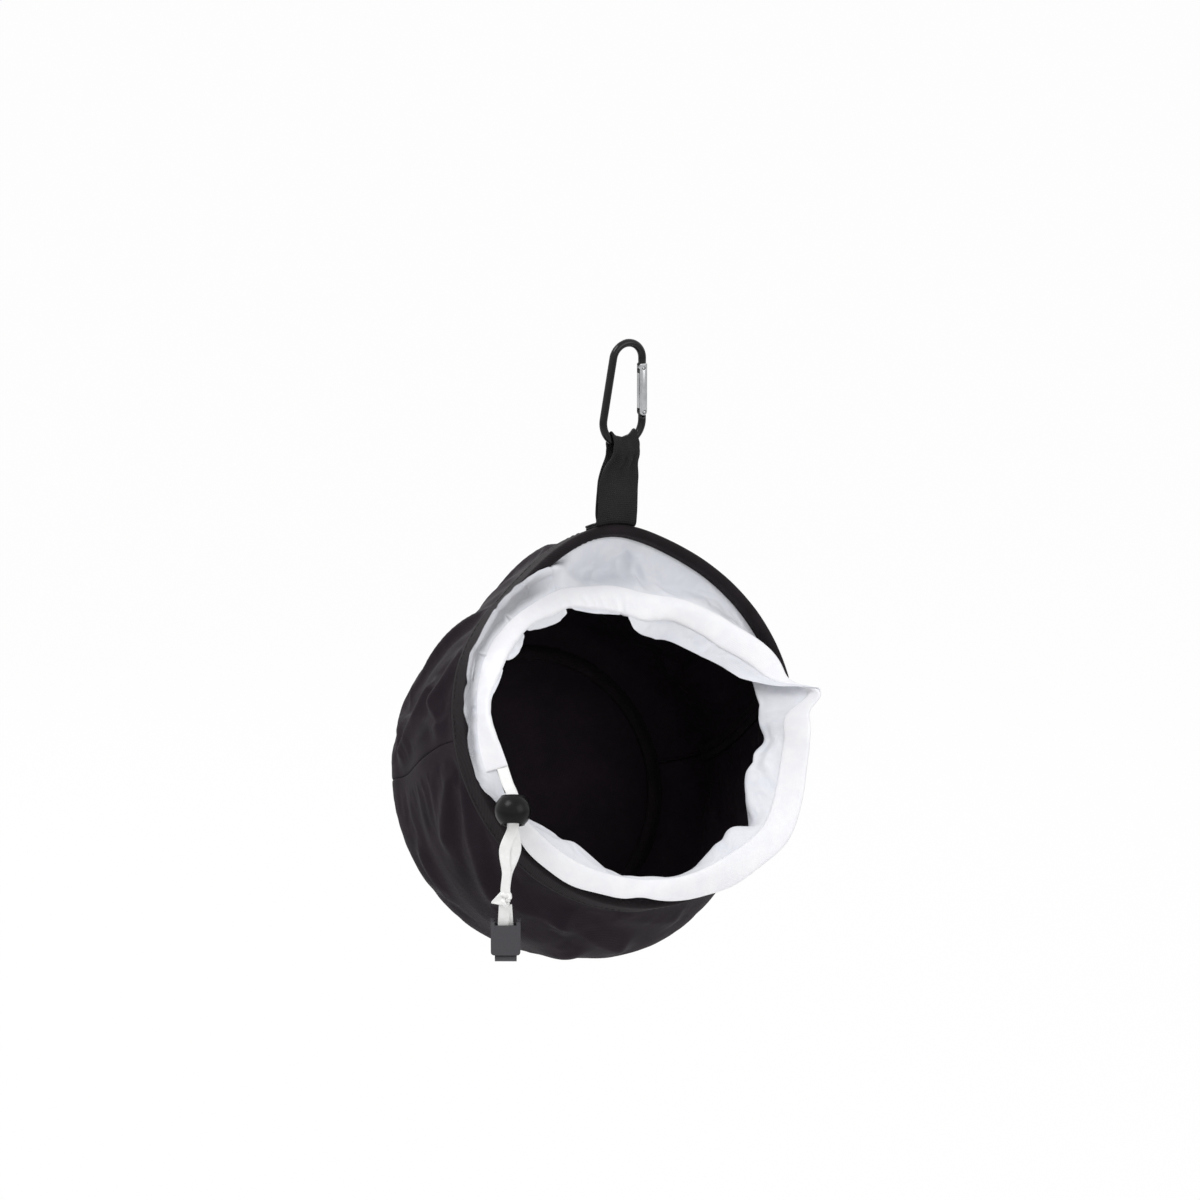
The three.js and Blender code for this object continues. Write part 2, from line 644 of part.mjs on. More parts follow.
function basePanel() {
  const outline = new THREE.Shape().absarc(0, -BASE_DROOP, baseEdge, 0, 2 * Math.PI, false);
  return plate(outline, WALL_THICKNESS, BASE_STEPS).translate(0, 0, -BAG_DEPTH);
}

function baseBinding() {
  const low = baseTop + FIT;
  const high = low + SEAM_TAPE_THICKNESS;
  const wide = baseEdge + FIT;
  const narrow = wide - BASE_BINDING_WIDTH;
  const section = [[narrow, low], [wide, low], [wide, high], [narrow, high], [narrow, low]];
  const profile = section.map(([radius, z]) => new THREE.Vector2(radius, z));
  return new THREE.LatheGeometry(profile, BASE_STEPS).rotateX(Math.PI / 2).translate(0, -BASE_DROOP, 0);
}

bag.add(piece("rim_binding", loft(rimRing(bindingSection()), true), TWILL));
bag.add(piece("rim_hoop", loft(rimRing(hoopSection()), true), BLACK_PLASTIC));
bag.add(piece("upper_wall_panel", wallPanel(-90, 90), FABRIC));
bag.add(piece("lower_wall_panel", wallPanel(90, 270), FABRIC));
bag.add(piece("left_seam_tape", seamTape(270), TWILL));
bag.add(piece("right_seam_tape", seamTape(90), TWILL));
bag.add(piece("base_panel", basePanel(), FABRIC));
bag.add(piece("base_seam_binding", baseBinding(), TWILL));

// COLLAR: a curve per angle from inside the binding, round the binding's inner edge, to the free edge.
function collarKey(angle, name) {
  const count = COLLAR_SHAPE.length;
  const place = THREE.MathUtils.euclideanModulo(angle, 360) / (360 / count);
  const first = Math.floor(place);
  const share = place - first;
  const [a, b, c, d] = [-1, 0, 1, 2].map((step) => COLLAR_SHAPE[(first + step + count) % count][name]);
  const slope = [(c - a) / 2, (d - b) / 2];
  const square = share * share;
  const cube = square * share;
  const value = (2 * cube - 3 * square + 1) * b + (3 * square - 2 * cube) * c;
  const bent = value + (cube - 2 * square + share) * slope[0] + (cube - square) * slope[1];
  return (bent / 100) * (RIM_DIAMETER / 2);
}

const collarSeat = -(crownInner - FIT - COLLAR_THICKNESS / 2);
const collarUnder = leafEnd - FIT - COLLAR_THICKNESS / 2;
const collarClear = -(crownOuter + 2 * FIT + COLLAR_THICKNESS / 2);

// Hidden root of the sheet: down between the binding's leaves and under the inner leaf.
function collarRoot(angle, offset) {
  const rim = rimRadius(angle);
  return [
    polar(angle, rim + collarSeat + offset, layerTop),
    polar(angle, rim + collarSeat + offset, collarUnder - offset),
    polar(angle, rim - (crownInner + crownOuter) / 2, collarUnder - offset),
  ];
}

// Free part of the sheet, from the inner leaf's edge over its belly to the free edge.
function collarCurve(angle) {
  const rim = rimRadius(angle);
  const fold = FOLD_DEPTH * Math.sin(radians(angle * FOLD_COUNT));
  return new THREE.SplineCurve([
    new THREE.Vector2(rim + collarClear, collarUnder),
    new THREE.Vector2(rim - collarKey(angle, "bellyIn") + fold, collarKey(angle, "bellyOut")),
    new THREE.Vector2(rim - collarKey(angle, "edgeIn"), collarKey(angle, "edgeOut")),
  ]);
}

// Point beside a collar curve: share along it, and offset to its left.
function besideCurve(curve, angle, share, offset) {
  const point = curve.getPointAt(share);
  const tangent = curve.getTangentAt(share);
  return polar(angle, point.x - tangent.y * offset, point.y + tangent.x * offset);
}

function collarSheet() {
  const half = COLLAR_THICKNESS / 2;
  const rings = [];
  for (let i = 0; i < COLLAR_STEPS; i += 1) {
    const angle = (360 * i) / COLLAR_STEPS;
    const curve = collarCurve(angle);
    const end = 1 - (HEM_WIDTH + FIT) / curve.getLength();
    const shares = Array.from({ length: COLLAR_POINTS }, (_, j) => (end * j) / (COLLAR_POINTS - 1));
    const side = (offset) => [
      ...collarRoot(angle, offset),
      ...shares.map((share) => besideCurve(curve, angle, share, offset)),
    ];
    rings.push([...side(half), ...side(-half).reverse()]);
  }
  return loft(rings, true);
}

// Hem section at an angle, drawn in from the hem's outer skin by a margin.
function hemRing(angle, margin) {
  const curve = collarCurve(angle);
  const length = curve.getLength();
  const half = HEM_THICKNESS / 2 - margin;
  const start = 1 - (HEM_WIDTH - margin) / length;
  const stop = 1 - margin / length;
  const step = half / length;
  const shares = [start + step, (start + stop) / 2, stop - step];
  return [
    besideCurve(curve, angle, start, 0),
    ...shares.map((share) => besideCurve(curve, angle, share, half)),
    besideCurve(curve, angle, stop, 0),
    ...shares.map((share) => besideCurve(curve, angle, share, -half)).reverse(),
  ];
}

const exitRadius = rimRadius(EXIT_ANGLE) - collarKey(EXIT_ANGLE, "edgeIn");
const exitHalf = THREE.MathUtils.radToDeg(EXIT_GAP / 2 / exitRadius);
const hemAngles = Array.from({ length: HEM_STEPS }, (_, i) => {
  return lerp(EXIT_ANGLE + exitHalf, EXIT_ANGLE + 360 - exitHalf, i / (HEM_STEPS - 1));
});

// Ribbon station inside the hem: its place, the direction across the ribbon and the direction it faces.
function hemStation(angle) {
  const curve = collarCurve(angle);
  const share = 1 - HEM_WIDTH / 2 / curve.getLength();
  const tangent = curve.getTangentAt(share);
  const place = besideCurve(curve, angle, share, 0);
  const across = polar(angle, tangent.x, tangent.y);
  const facing = polar(angle, -tangent.y, tangent.x);
  return { place, across, facing };
}

// Flat ribbon through stations.
function ribbon(stations) {
  return loft(stations.map(({ place, across, facing }) => {
    const corner = (side, face) => place.clone()
      .addScaledVector(across, (side * RIBBON_WIDTH) / 2)
      .addScaledVector(facing, (face * RIBBON_THICKNESS) / 2);
    return [corner(-1, 1), corner(1, 1), corner(1, -1), corner(-1, -1)];
  }));
}

const hemOuter = hemAngles.map((angle) => hemRing(angle, 0));
const hemInner = hemAngles.map((angle) => hemRing(angle, HEM_WALL));
bag.add(piece("collar", collarSheet(), VOILE));
bag.add(piece("collar_hem", pipe(hemOuter, hemInner), VOILE));
bag.add(piece("drawstring", ribbon(hemAngles.map(hemStation)), RIBBON));

// PLACE THE BAG: the loop hangs plumb from the lower bow onto the top of the rim.
const tilt = radians(90 - OPENING_ELEVATION);
const archTop = bowBottom + rodRadius + LOOP_CLEARANCE + WEBBING_THICKNESS;
const rimTopZ = archTop - LOOP_LENGTH;
const layerPitch = WEBBING_THICKNESS + LOOP_LEG_GAP;
const layerHeight = (layer) => crownOuter + FIT + WEBBING_THICKNESS / 2 + layer * (WEBBING_THICKNESS + FIT);
const seatOnRim = (layer, z) => polar(LOOP_ANGLE, rimRadius(LOOP_ANGLE) + layerHeight(layer), z);
bag.rotation.x = tilt;
bag.updateMatrixWorld(true);
const rimSeat = bag.localToWorld(seatOnRim(0, 0));
bag.position.set(-LOOP_LEAN - rimSeat.x, -layerPitch / 2 - rimSeat.y, rimTopZ - rimSeat.z);
bag.updateMatrixWorld(true);

// Webbing strip: up from the rim, over the bow and back down onto its own first layer.
function hangingLoop() {
  const flat = (layer, z) => bag.localToWorld(seatOnRim(layer, z));
  const archMiddle = LOOP_ARCH_RADIUS + WEBBING_THICKNESS / 2;
  const shoulder = bowBottom - rodRadius;
  const leg = (side) => [
    vec(-LOOP_LEAN, (side * layerPitch) / 2, rimTopZ + 2 * layerPitch),
    vec(-LOOP_LEAN / 2, (side * layerPitch) / 2, shoulder - BUNCH_END),
    vec(0, side * (layerPitch / 2 + WEBBING_THICKNESS), shoulder - BUNCH_START - archMiddle),
    vec(0, side * archMiddle, shoulder),
  ];
  const path = new THREE.CatmullRomCurve3([
    flat(0, -LOOP_TAIL),
    flat(0, -LOOP_TAIL / 2),
    flat(0, -WEBBING_THICKNESS),
    ...leg(-1),
    vec(0, 0, archTop - WEBBING_THICKNESS / 2),
    ...leg(1).reverse(),
    flat(1, -WEBBING_THICKNESS),
    flat(1, -LOOP_TAIL / 2),
    flat(1, -LOOP_TAIL),
  ], false, "centripetal");
  const rimAcross = vec(1, 0, 0).applyAxisAngle(UP, -radians(LOOP_ANGLE)).transformDirection(bag.matrixWorld);
  const saddleRadius = lowerRadius - rodRadius - LOOP_CLEARANCE;
  const rings = Array.from({ length: LOOP_STEPS + 1 }, (_, i) => {
    const point = path.getPointAt(i / LOOP_STEPS);
    const along = path.getTangentAt(i / LOOP_STEPS);
    const lifted = THREE.MathUtils.smoothstep(point.z, rimTopZ, rimTopZ + WEBBING_WIDTH);
    const across = rimAcross.clone().lerp(vec(1, 0, 0), lifted).normalize();
    const facing = vec(0, 0, 0).crossVectors(along, across).normalize();
    const bunch = THREE.MathUtils.smoothstep(point.z, shoulder - BUNCH_END, shoulder - BUNCH_START);
    const width = lerp(WEBBING_WIDTH, WEBBING_BUNCHED_WIDTH, bunch);
    const columns = [-1, -1 / 2, 0, 1 / 2, 1].map((share) => (share * width) / 2);
    const place = (x, offset) => {
      const reach = Math.min(Math.abs(x), WEBBING_BUNCHED_WIDTH / 2);
      const rise = bunch * (saddleRadius - Math.sqrt(saddleRadius ** 2 - reach ** 2));
      const spot = point.clone().addScaledVector(across, x).addScaledVector(facing, offset);
      return spot.addScaledVector(UP, rise);
    };
    const outside = columns.map((x) => place(x, WEBBING_THICKNESS / 2));
    return [...outside, ...columns.map((x) => place(x, -WEBBING_THICKNESS / 2)).reverse()];
  });
  return loft(rings);
}

// BALL STOP, tilted on the plumb ribbons as far as its hole lets it.
const ballRadius = BALL_DIAMETER / 2;
const holeRadius = BALL_HOLE_DIAMETER / 2;

function ballStop() {
  const mouth = holeRadius + BALL_HOLE_FLARE;
  const edge = Math.acos(mouth / ballRadius);
  const throat = ballRadius * Math.sin(edge) - 2 * BALL_HOLE_FLARE;
  const profile = [new THREE.Vector2(holeRadius, throat), new THREE.Vector2(holeRadius, -throat)];
  for (let i = 0; i <= BALL_STEPS; i += 1) {
    const turn = lerp(-edge, edge, i / BALL_STEPS);
    profile.push(new THREE.Vector2(ballRadius * Math.cos(turn), ballRadius * Math.sin(turn)));
  }
  profile.push(profile[0].clone());
  return new THREE.LatheGeometry(profile, BALL_SIDES).rotateX(Math.PI / 2 - radians(BALL_TILT));
}

const exitPoint = bag.localToWorld(hemStation(EXIT_ANGLE).place.clone());
const ball = new THREE.Group();
ball.rotation.z = radians(BALL_YAW);
ball.position.copy(exitPoint).add(vec(-BALL_LEFT, -BALL_FORWARD, -BALL_DROP));
ball.updateMatrixWorld(true);
ball.add(piece("cord_stop_ball", ballStop(), BLACK_PLASTIC));

// TAILS: two ribbons out of the hem, down through the ball and apart a little, drifting left to the knot.
const tailAcross = vec(1, 0, 0).applyAxisAngle(UP, ball.rotation.z);
const tailFacing = vec(0, 1, 0).applyAxisAngle(UP, ball.rotation.z);
const packThickness = 2 * RIBBON_THICKNESS + FIT;
const tailX = (RIBBON_THICKNESS + FIT) / 2;
const ballFoot = ball.position.z - ballRadius;
const tailBottom = ball.position.z - TAIL_LENGTH;
const cordFoot = ball.position.clone().addScaledVector(tailAcross, -TAIL_DRIFT).setZ(tailBottom);

function tail(side, hemAngle) {
  const end = hemStation(hemAngle);
  const place = bag.localToWorld(end.place.clone());
  const onward = exitPoint.clone().sub(place).normalize();
  const hemAcross = end.across.clone().transformDirection(bag.matrixWorld);
  const line = (z, spread) => ball.position.clone()
    .lerp(cordFoot, THREE.MathUtils.clamp((ballFoot - z) / (ballFoot - tailBottom), 0, 1)).setZ(z)
    .addScaledVector(tailFacing, side * tailX)
    .addScaledVector(tailAcross, side * spread);
  const top = ball.position.z + ballRadius;
  const middle = (ballFoot + tailBottom) / 2;
  const elbow = line(top + (2 - side) * TAIL_ELBOW, 0).addScaledVector(tailFacing, TAIL_ELBOW);
  const curve = new THREE.CatmullRomCurve3([
    place.clone().addScaledVector(onward, TAIL_START),
    place.clone().addScaledVector(onward, EXIT_GAP / 4),
    elbow,
    line(top, 0),
    line(ball.position.z, 0),
    line(ballFoot, 0),
    line(middle, TAIL_SPREAD),
    line(tailBottom, 0),
  ], false, "centripetal");
  const stations = Array.from({ length: TAIL_STEPS + 1 }, (_, i) => {
    const share = i / TAIL_STEPS;
    const along = curve.getTangentAt(share);
    const turned = THREE.MathUtils.smoothstep(share * curve.getLength(), 0, EXIT_GAP / 2);
    const wanted = hemAcross.clone().lerp(tailAcross, turned);
    const facing = vec(0, 0, 0).crossVectors(wanted, along).normalize();
    const across = vec(0, 0, 0).crossVectors(along, facing).normalize();
    return { place: curve.getPointAt(share), across, facing };
  });
  return ribbon(stations);
}

// KNOT AND CORD END
const knotTop = tailBottom - FIT;
const knotBottom = knotTop - KNOT_LENGTH;
const endTop = knotBottom - CORD_END_DROP + KNOT_LENGTH;

function knot() {
  const profile = [];
  for (let i = 0; i <= KNOT_STEPS; i += 1) {
    const turn = (Math.PI * i) / KNOT_STEPS - Math.PI / 2;
    const radius = (KNOT_DIAMETER / 2) * Math.cos(turn) * (1 + KNOT_SKEW * Math.sin(2 * turn));
    profile.push(new THREE.Vector2(Math.max(radius, 0), (KNOT_LENGTH / 2) * Math.sin(turn)));
  }
  profile[0].x = 0;
  profile[KNOT_STEPS].x = 0;
  const middle = cordFoot.clone().setZ((knotTop + knotBottom) / 2);
  const lump = new THREE.LatheGeometry(profile, KNOT_SIDES).rotateX(Math.PI / 2);
  return lump.translate(middle.x, middle.y, middle.z);
}

// Cord end, in its own frame: Z up, the front leaf toward -Y, the hinge roll at the bottom along X.
const rollRadius = ROLL_DIAMETER / 2;
const leafLow = rollRadius + FIT;
const leafHigh = leafLow + LEAF_LENGTH;
const leafBack = FIT / 2 + LEAF_THICKNESS;
const pocketHalf = LEAF_WIDTH / 2 - LEAF_WALL;
const pocketDepth = LEAF_THICKNESS - LEAF_WALL;

// One leaf: rounded foot, horns at its top corners and a pocket that is open at the top.
function leafShell() {
  const half = LEAF_WIDTH / 2;
  const outline = new THREE.Shape();
  outline.moveTo(-half + LEAF_HORN, leafLow);
  outline.lineTo(half - LEAF_HORN, leafLow);
  outline.quadraticCurveTo(half, leafLow, half, leafLow + LEAF_HORN);
  outline.lineTo(half, leafHigh);
  outline.lineTo(half - LEAF_HORN, leafHigh);
  outline.lineTo(half - LEAF_HORN, leafHigh - LEAF_HORN);
  outline.lineTo(LEAF_HORN - half, leafHigh - LEAF_HORN);
  outline.lineTo(LEAF_HORN - half, leafHigh);
  outline.lineTo(-half, leafHigh);
  outline.lineTo(-half, leafLow + LEAF_HORN);
  outline.quadraticCurveTo(-half, leafLow, -half + LEAF_HORN, leafLow);
  const shell = plate(outline, LEAF_THICKNESS, LEAF_CORNER_STEPS);
  shell.rotateX(Math.PI / 2).translate(0, leafBack, 0);
  const pocket = block(
    vec(-pocketHalf, 0, leafLow + LEAF_WALL),
    vec(pocketHalf, FIT / 2 + pocketDepth, leafHigh + LEAF_LENGTH),
  );
  return cut(shell, [pocket]);
}

// One leaf with its gripping teeth, which reach from the pocket floor to the ribbons.
function toothedLeaf() {
  const spacing = (LEAF_LENGTH - LEAF_WALL - LEAF_HORN) / (TOOTH_COUNT + 1);
  const floor = FIT / 2 + pocketDepth;
  const reach = pocketHalf + FIT;
  const teeth = Array.from({ length: TOOTH_COUNT }, (_, i) => {
    const z = leafLow + LEAF_WALL + spacing * (i + 1);
    return loft([-reach, reach].map((x) => [
      vec(x, floor + FIT, z - TOOTH_WIDTH / 2),
      vec(x, packThickness / 2 + FIT, z),
      vec(x, floor + FIT, z + TOOTH_WIDTH / 2),
    ]));
  });
  return join([leafShell(), ...teeth]);
}

function backLeaf() {
  const roll = bar("x", ROLL_DIAMETER, LEAF_WIDTH - 2 * LEAF_HORN, vec(0, 0, 0));
  const web = block(
    vec(LEAF_HORN - LEAF_WIDTH / 2, rollRadius / 2, -rollRadius / 2),
    vec(LEAF_WIDTH / 2 - LEAF_HORN, leafBack, leafLow + LEAF_WALL),
  );
  return join([toothedLeaf(), roll, web]);
}

const cordEnd = new THREE.Group();
cordEnd.rotation.z = ball.rotation.z;
cordEnd.position.copy(cordFoot).setZ(endTop - leafHigh);
cordEnd.updateMatrixWorld(true);
cordEnd.add(piece("cord_end_back_leaf", backLeaf(), GREY_PLASTIC));
cordEnd.add(piece("cord_end_front_leaf", toothedLeaf().rotateZ(Math.PI), GREY_PLASTIC));

// Ribbon ends: from the knot down into the pocket.
function ribbonEnd(side) {
  const base = cordFoot.clone().addScaledVector(tailFacing, side * tailX);
  const station = (z) => ({ place: base.clone().setZ(z), across: tailAcross, facing: tailFacing });
  return ribbon([knotBottom - FIT, endTop - RIBBON_END_DEPTH].map(station));
}

const world = new THREE.Group();
world.add(hook, bag, ball, cordEnd);
world.add(piece("hanging_loop", hangingLoop(), WEBBING));
world.add(piece("drawstring_tail_left", tail(-1, EXIT_ANGLE + exitHalf), RIBBON));
world.add(piece("drawstring_tail_right", tail(1, EXIT_ANGLE - exitHalf), RIBBON));
world.add(piece("drawstring_knot", knot(), RIBBON));
world.add(piece("drawstring_end_left", ribbonEnd(-1), RIBBON));
world.add(piece("drawstring_end_right", ribbonEnd(1), RIBBON));

export default world;
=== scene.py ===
# %% [markdown]
# # Dressing a peg bag
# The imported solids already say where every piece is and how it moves. This lesson gives each piece the
# surface of the real one: creased cloth, twill tape, sheer voile, ribbon, moulded plastic, coated and
# plated steel. Everything is in metres in the solids' own frame, so nothing is moved or scaled to fit.

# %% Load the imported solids
import json
import math

import bpy
import numpy as np
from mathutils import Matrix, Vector


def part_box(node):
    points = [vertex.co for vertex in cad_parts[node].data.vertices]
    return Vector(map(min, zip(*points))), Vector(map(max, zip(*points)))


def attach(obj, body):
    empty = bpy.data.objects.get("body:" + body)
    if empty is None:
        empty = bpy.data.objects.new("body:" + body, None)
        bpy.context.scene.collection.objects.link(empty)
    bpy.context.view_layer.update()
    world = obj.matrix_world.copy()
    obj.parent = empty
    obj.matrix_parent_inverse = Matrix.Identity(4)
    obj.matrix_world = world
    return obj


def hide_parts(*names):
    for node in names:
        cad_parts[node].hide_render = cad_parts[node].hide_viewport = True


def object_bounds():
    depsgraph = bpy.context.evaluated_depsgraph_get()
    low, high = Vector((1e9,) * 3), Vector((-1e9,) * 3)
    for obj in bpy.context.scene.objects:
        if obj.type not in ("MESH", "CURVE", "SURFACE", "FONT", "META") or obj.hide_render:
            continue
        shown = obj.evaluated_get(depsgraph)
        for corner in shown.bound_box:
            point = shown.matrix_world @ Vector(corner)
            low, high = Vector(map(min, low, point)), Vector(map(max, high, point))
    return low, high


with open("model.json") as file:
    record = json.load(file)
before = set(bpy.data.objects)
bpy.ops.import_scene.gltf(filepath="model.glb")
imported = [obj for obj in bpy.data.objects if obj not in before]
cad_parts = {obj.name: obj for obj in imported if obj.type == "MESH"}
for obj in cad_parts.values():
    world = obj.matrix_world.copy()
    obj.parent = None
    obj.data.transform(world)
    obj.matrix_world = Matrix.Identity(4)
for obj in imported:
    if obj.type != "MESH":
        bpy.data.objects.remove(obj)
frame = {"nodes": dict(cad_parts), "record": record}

MM = 0.001
cad_box = [list(corner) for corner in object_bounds()]
print("solids:", len(frame["nodes"]), "box:", cad_box)

# %% [markdown]
# ## The bag's own axes
# The drum hangs tilted, so its shape is easiest to write in a frame of its own: X across, Y up the rim and
# Z out of the mouth, in millimetres. The base is the one flat face that the record states, so its point and
# its normal give that frame.

# %% Axes of the drum
BAG_DEPTH = 119
BASE_DROOP = 19
base_mount = next(m for m in frame["record"]["mounts"] if m["name"] == "base")
outward = -Vector(base_mount["axis"]).normalized()
across_mouth = Vector((1, 0, 0))
up_rim = outward.cross(across_mouth)
mouth_centre = Vector(base_mount["pos_m"]) + (outward * BAG_DEPTH + up_rim * BASE_DROOP) * MM
drum_axes = np.array([across_mouth, up_rim, outward])


def in_row_frame(points):
    """Points of the drum's frame, in millimetres, as metres in the row frame."""
    return np.array(mouth_centre) + MM * (np.asarray(points, float) @ drum_axes)


def unit(vectors):
    """Vectors scaled to a length of 1."""
    return vectors / np.linalg.norm(vectors, axis=-1, keepdims=True)


def distances(line):
    """How far along a line of points each of them lies."""
    return np.concatenate([[0], np.cumsum(np.linalg.norm(np.diff(line, axis=0), axis=1))])


print("mouth centre:", [round(value, 4) for value in mouth_centre])

# %% [markdown]
# ## Camera
# A long lens far away gives the flat perspective of a product picture. The camera's turn and height come
# from how round the mouth looks, and its aim from where the mouth's centre lies in the picture.

# %% Camera at the photograph's angle
PICTURE_PIXELS = 1200
FOCAL_PIXELS = 5000
SENSOR_WIDTH = 36
CAMERA_AZIMUTH = math.radians(-30.8)
CAMERA_ELEVATION = math.radians(15)
CAMERA_DISTANCE = 2.632
MOUTH_PIXEL = (635, 719)

to_camera = Vector((
    math.sin(CAMERA_AZIMUTH) * math.cos(CAMERA_ELEVATION),
    -math.cos(CAMERA_AZIMUTH) * math.cos(CAMERA_ELEVATION),
    math.sin(CAMERA_ELEVATION),
))
picture_right = Vector((math.cos(CAMERA_AZIMUTH), math.sin(CAMERA_AZIMUTH), 0))
picture_up = to_camera.cross(picture_right)
pixel_size = CAMERA_DISTANCE / FOCAL_PIXELS
aim = mouth_centre - picture_right * (MOUTH_PIXEL[0] - PICTURE_PIXELS / 2) * pixel_size
aim += picture_up * (MOUTH_PIXEL[1] - PICTURE_PIXELS / 2) * pixel_size

camera = bpy.data.objects.new("camera", bpy.data.cameras.new("camera"))
camera.data.sensor_width = SENSOR_WIDTH
camera.data.lens = SENSOR_WIDTH * FOCAL_PIXELS / PICTURE_PIXELS
camera.location = aim + to_camera * CAMERA_DISTANCE
camera.rotation_mode = "QUATERNION"
camera.rotation_quaternion = to_camera.to_track_quat("Z", "Y")
scene = bpy.context.scene
scene.collection.objects.link(camera)
scene.camera = camera
scene.view_settings.view_transform = "Standard"
print("lens:", camera.data.lens, "mm")

# %% [markdown]
# ## Materials
# Every finish is a node tree. One helper adds a node, sets it and links it, and one turns a hex colour, as
# a colour picker gives it, into the linear values that shaders use.


# %% Helpers for node trees
def linear(code):
    """An sRGB hex colour as linear red, green, blue and alpha."""
    channels = [int(code[i:i + 2], 16) / 255 for i in (1, 3, 5)]
    bent = [c / 12.92 if c <= 0.04045 else ((c + 0.055) / 1.055) ** 2.4 for c in channels]
    return [*bent, 1.0]


def add(tree, kind, inputs=None, **settings):
    """A node with its settings. Each input is a value or another node's output socket."""
    node = tree.nodes.new(kind)
    for name, value in settings.items():
        setattr(node, name, value)
    for socket, value in (inputs or {}).items():
        if isinstance(value, bpy.types.NodeSocket):
            tree.links.new(value, node.inputs[socket])
        else:
            node.inputs[socket].default_value = value
    return node


def new_material(name, **shader):
    """A material with one Principled shader, whose sockets are set by name."""
    material = bpy.data.materials.new(name)
    material.use_nodes = True
    tree = material.node_tree
    principled = tree.nodes["Principled BSDF"]
    for socket, value in shader.items():
        principled.inputs[socket.replace("_", " ").title().replace("Ior", "IOR")].default_value = value
    return material, tree, principled


def mottle(tree, principled, dark, light, patch_mm, contrast=0.5):
    """Base colour that drifts between two shades in patches of a real size."""
    place = add(tree, "ShaderNodeTexCoord")
    noise = add(tree, "ShaderNodeTexNoise", {"Vector": place.outputs["Object"],
                                             "Scale": 1 / (patch_mm * MM), "Detail": 4, "Roughness": 0.6})
    ramp = add(tree, "ShaderNodeValToRGB", {"Fac": noise.outputs["Fac"]})
    ramp.color_ramp.elements[0].position = 0.5 - contrast / 2
    ramp.color_ramp.elements[1].position = 0.5 + contrast / 2
    ramp.color_ramp.elements[0].color = linear(dark)
    ramp.color_ramp.elements[1].color = linear(light)
    tree.links.new(ramp.outputs["Color"], principled.inputs["Base Color"])
    return noise


def bump(tree, principled, height, depth_mm, strength=1.0, below=None):
    """Normal from a height pattern, on top of another bump if one is given."""
    inputs = {"Height": height, "Distance": depth_mm * MM, "Strength": strength}
    if below is not None:
        inputs["Normal"] = below
    made = add(tree, "ShaderNodeBump", inputs)
    tree.links.new(made.outputs["Normal"], principled.inputs["Normal"])
    return made.outputs["Normal"]


# A wave texture's bands repeat every 2 pi / 20 of its coordinate, and its diagonal ones every 2 pi / 10.
BAND_PERIOD = 2 * math.pi / 20
DIAGONAL_PERIOD = 2 * math.pi / 10 / math.sqrt(2)


def threads(tree, pitch_mm, direction):
    """Height of parallel threads across the cloth's own millimetre map."""
    cloth = add(tree, "ShaderNodeUVMap", uv_map="cloth_mm")
    period = DIAGONAL_PERIOD if direction == "DIAGONAL" else BAND_PERIOD
    wave = add(tree, "ShaderNodeTexWave", {"Vector": cloth.outputs["UV"], "Scale": period / pitch_mm},
               wave_type="BANDS", bands_direction=direction, wave_profile="SIN")
    return wave.outputs["Fac"]


def woven(tree, pitch_mm):
    """Height of a plain weave: its warp and weft threads added."""
    warp, weft = (threads(tree, pitch_mm, direction) for direction in "XY")
    return add(tree, "ShaderNodeMath", {0: warp, 1: weft}, operation="ADD").outputs[0]


print("helpers ready")

# %% [markdown]
# ### Black cloths
# The drum is polyester poplin, a dense plain weave that scatters light softly and shows pale along its
# creases. The rim is bound with cotton twill tape, whose diagonal ribs catch the light, and the loop is
# nylon webbing, a little shinier, with ribs across it. The poplin's real threads lie 0.3 mm apart, too fine
# to show from here, so they are drawn at 0.9 mm.

# %% Poplin, twill tape and webbing
POPLIN_THREAD = 0.9
TWILL_RIB = 1.2
WEBBING_RIB = 1.1

poplin, tree, shader = new_material("polyester_poplin_black", roughness=0.7, specular_ior_level=0.1,
                                    sheen_weight=0.02, sheen_roughness=0.5)
patches = mottle(tree, shader, "#191319", "#241c23", 22)
fine = bump(tree, shader, woven(tree, POPLIN_THREAD), 0.12, 0.5)
bump(tree, shader, patches.outputs["Fac"], 0.8, 0.25, below=fine)

twill, tree, shader = new_material("cotton_twill_tape_black", roughness=0.8, specular_ior_level=0.12,
                                   sheen_weight=0.02, sheen_roughness=0.5)
mottle(tree, shader, "#161315", "#211c20", 12)
bump(tree, shader, threads(tree, TWILL_RIB, "DIAGONAL"), 0.3, 0.35)

webbing, tree, shader = new_material("nylon_webbing_black", roughness=0.6, specular_ior_level=0.2,
                                     sheen_weight=0.02, sheen_roughness=0.4)
mottle(tree, shader, "#131213", "#1d1b1c", 9)
bump(tree, shader, woven(tree, WEBBING_RIB), 0.2, 0.7)

black_thread, tree, shader = new_material("polyester_thread_black", roughness=0.55, specular_ior_level=0.25)
mottle(tree, shader, "#0e0d0e", "#1c1a1b", 2)
print("black cloths:", poplin.name, twill.name, webbing.name)

# %% [markdown]
# ### White cloths
# The collar is cotton voile, thin enough for the dark drum to grey it, so its shader lets a little of the
# view through. On the collar's left side, between the hem and the rim, it lets far more through. That is
# painted shade: the dark drum showing through stands in for the shade that lies there. Its hem is the same
# voile folded over twice, which is opaque. The drawstring is a satin ribbon with fine ribs along it.

# %% Voile, folded voile and ribbon
VOILE_THREAD = 0.9
RIBBON_RIB = 0.8
# The first alpha is the voile's own sheerness. The second, much lower, paints shade on the collar's left
# side by letting the dark drum show through.
GATHERED_ALPHA = 0.86
PAINTED_SHADE_ALPHA = 0.25

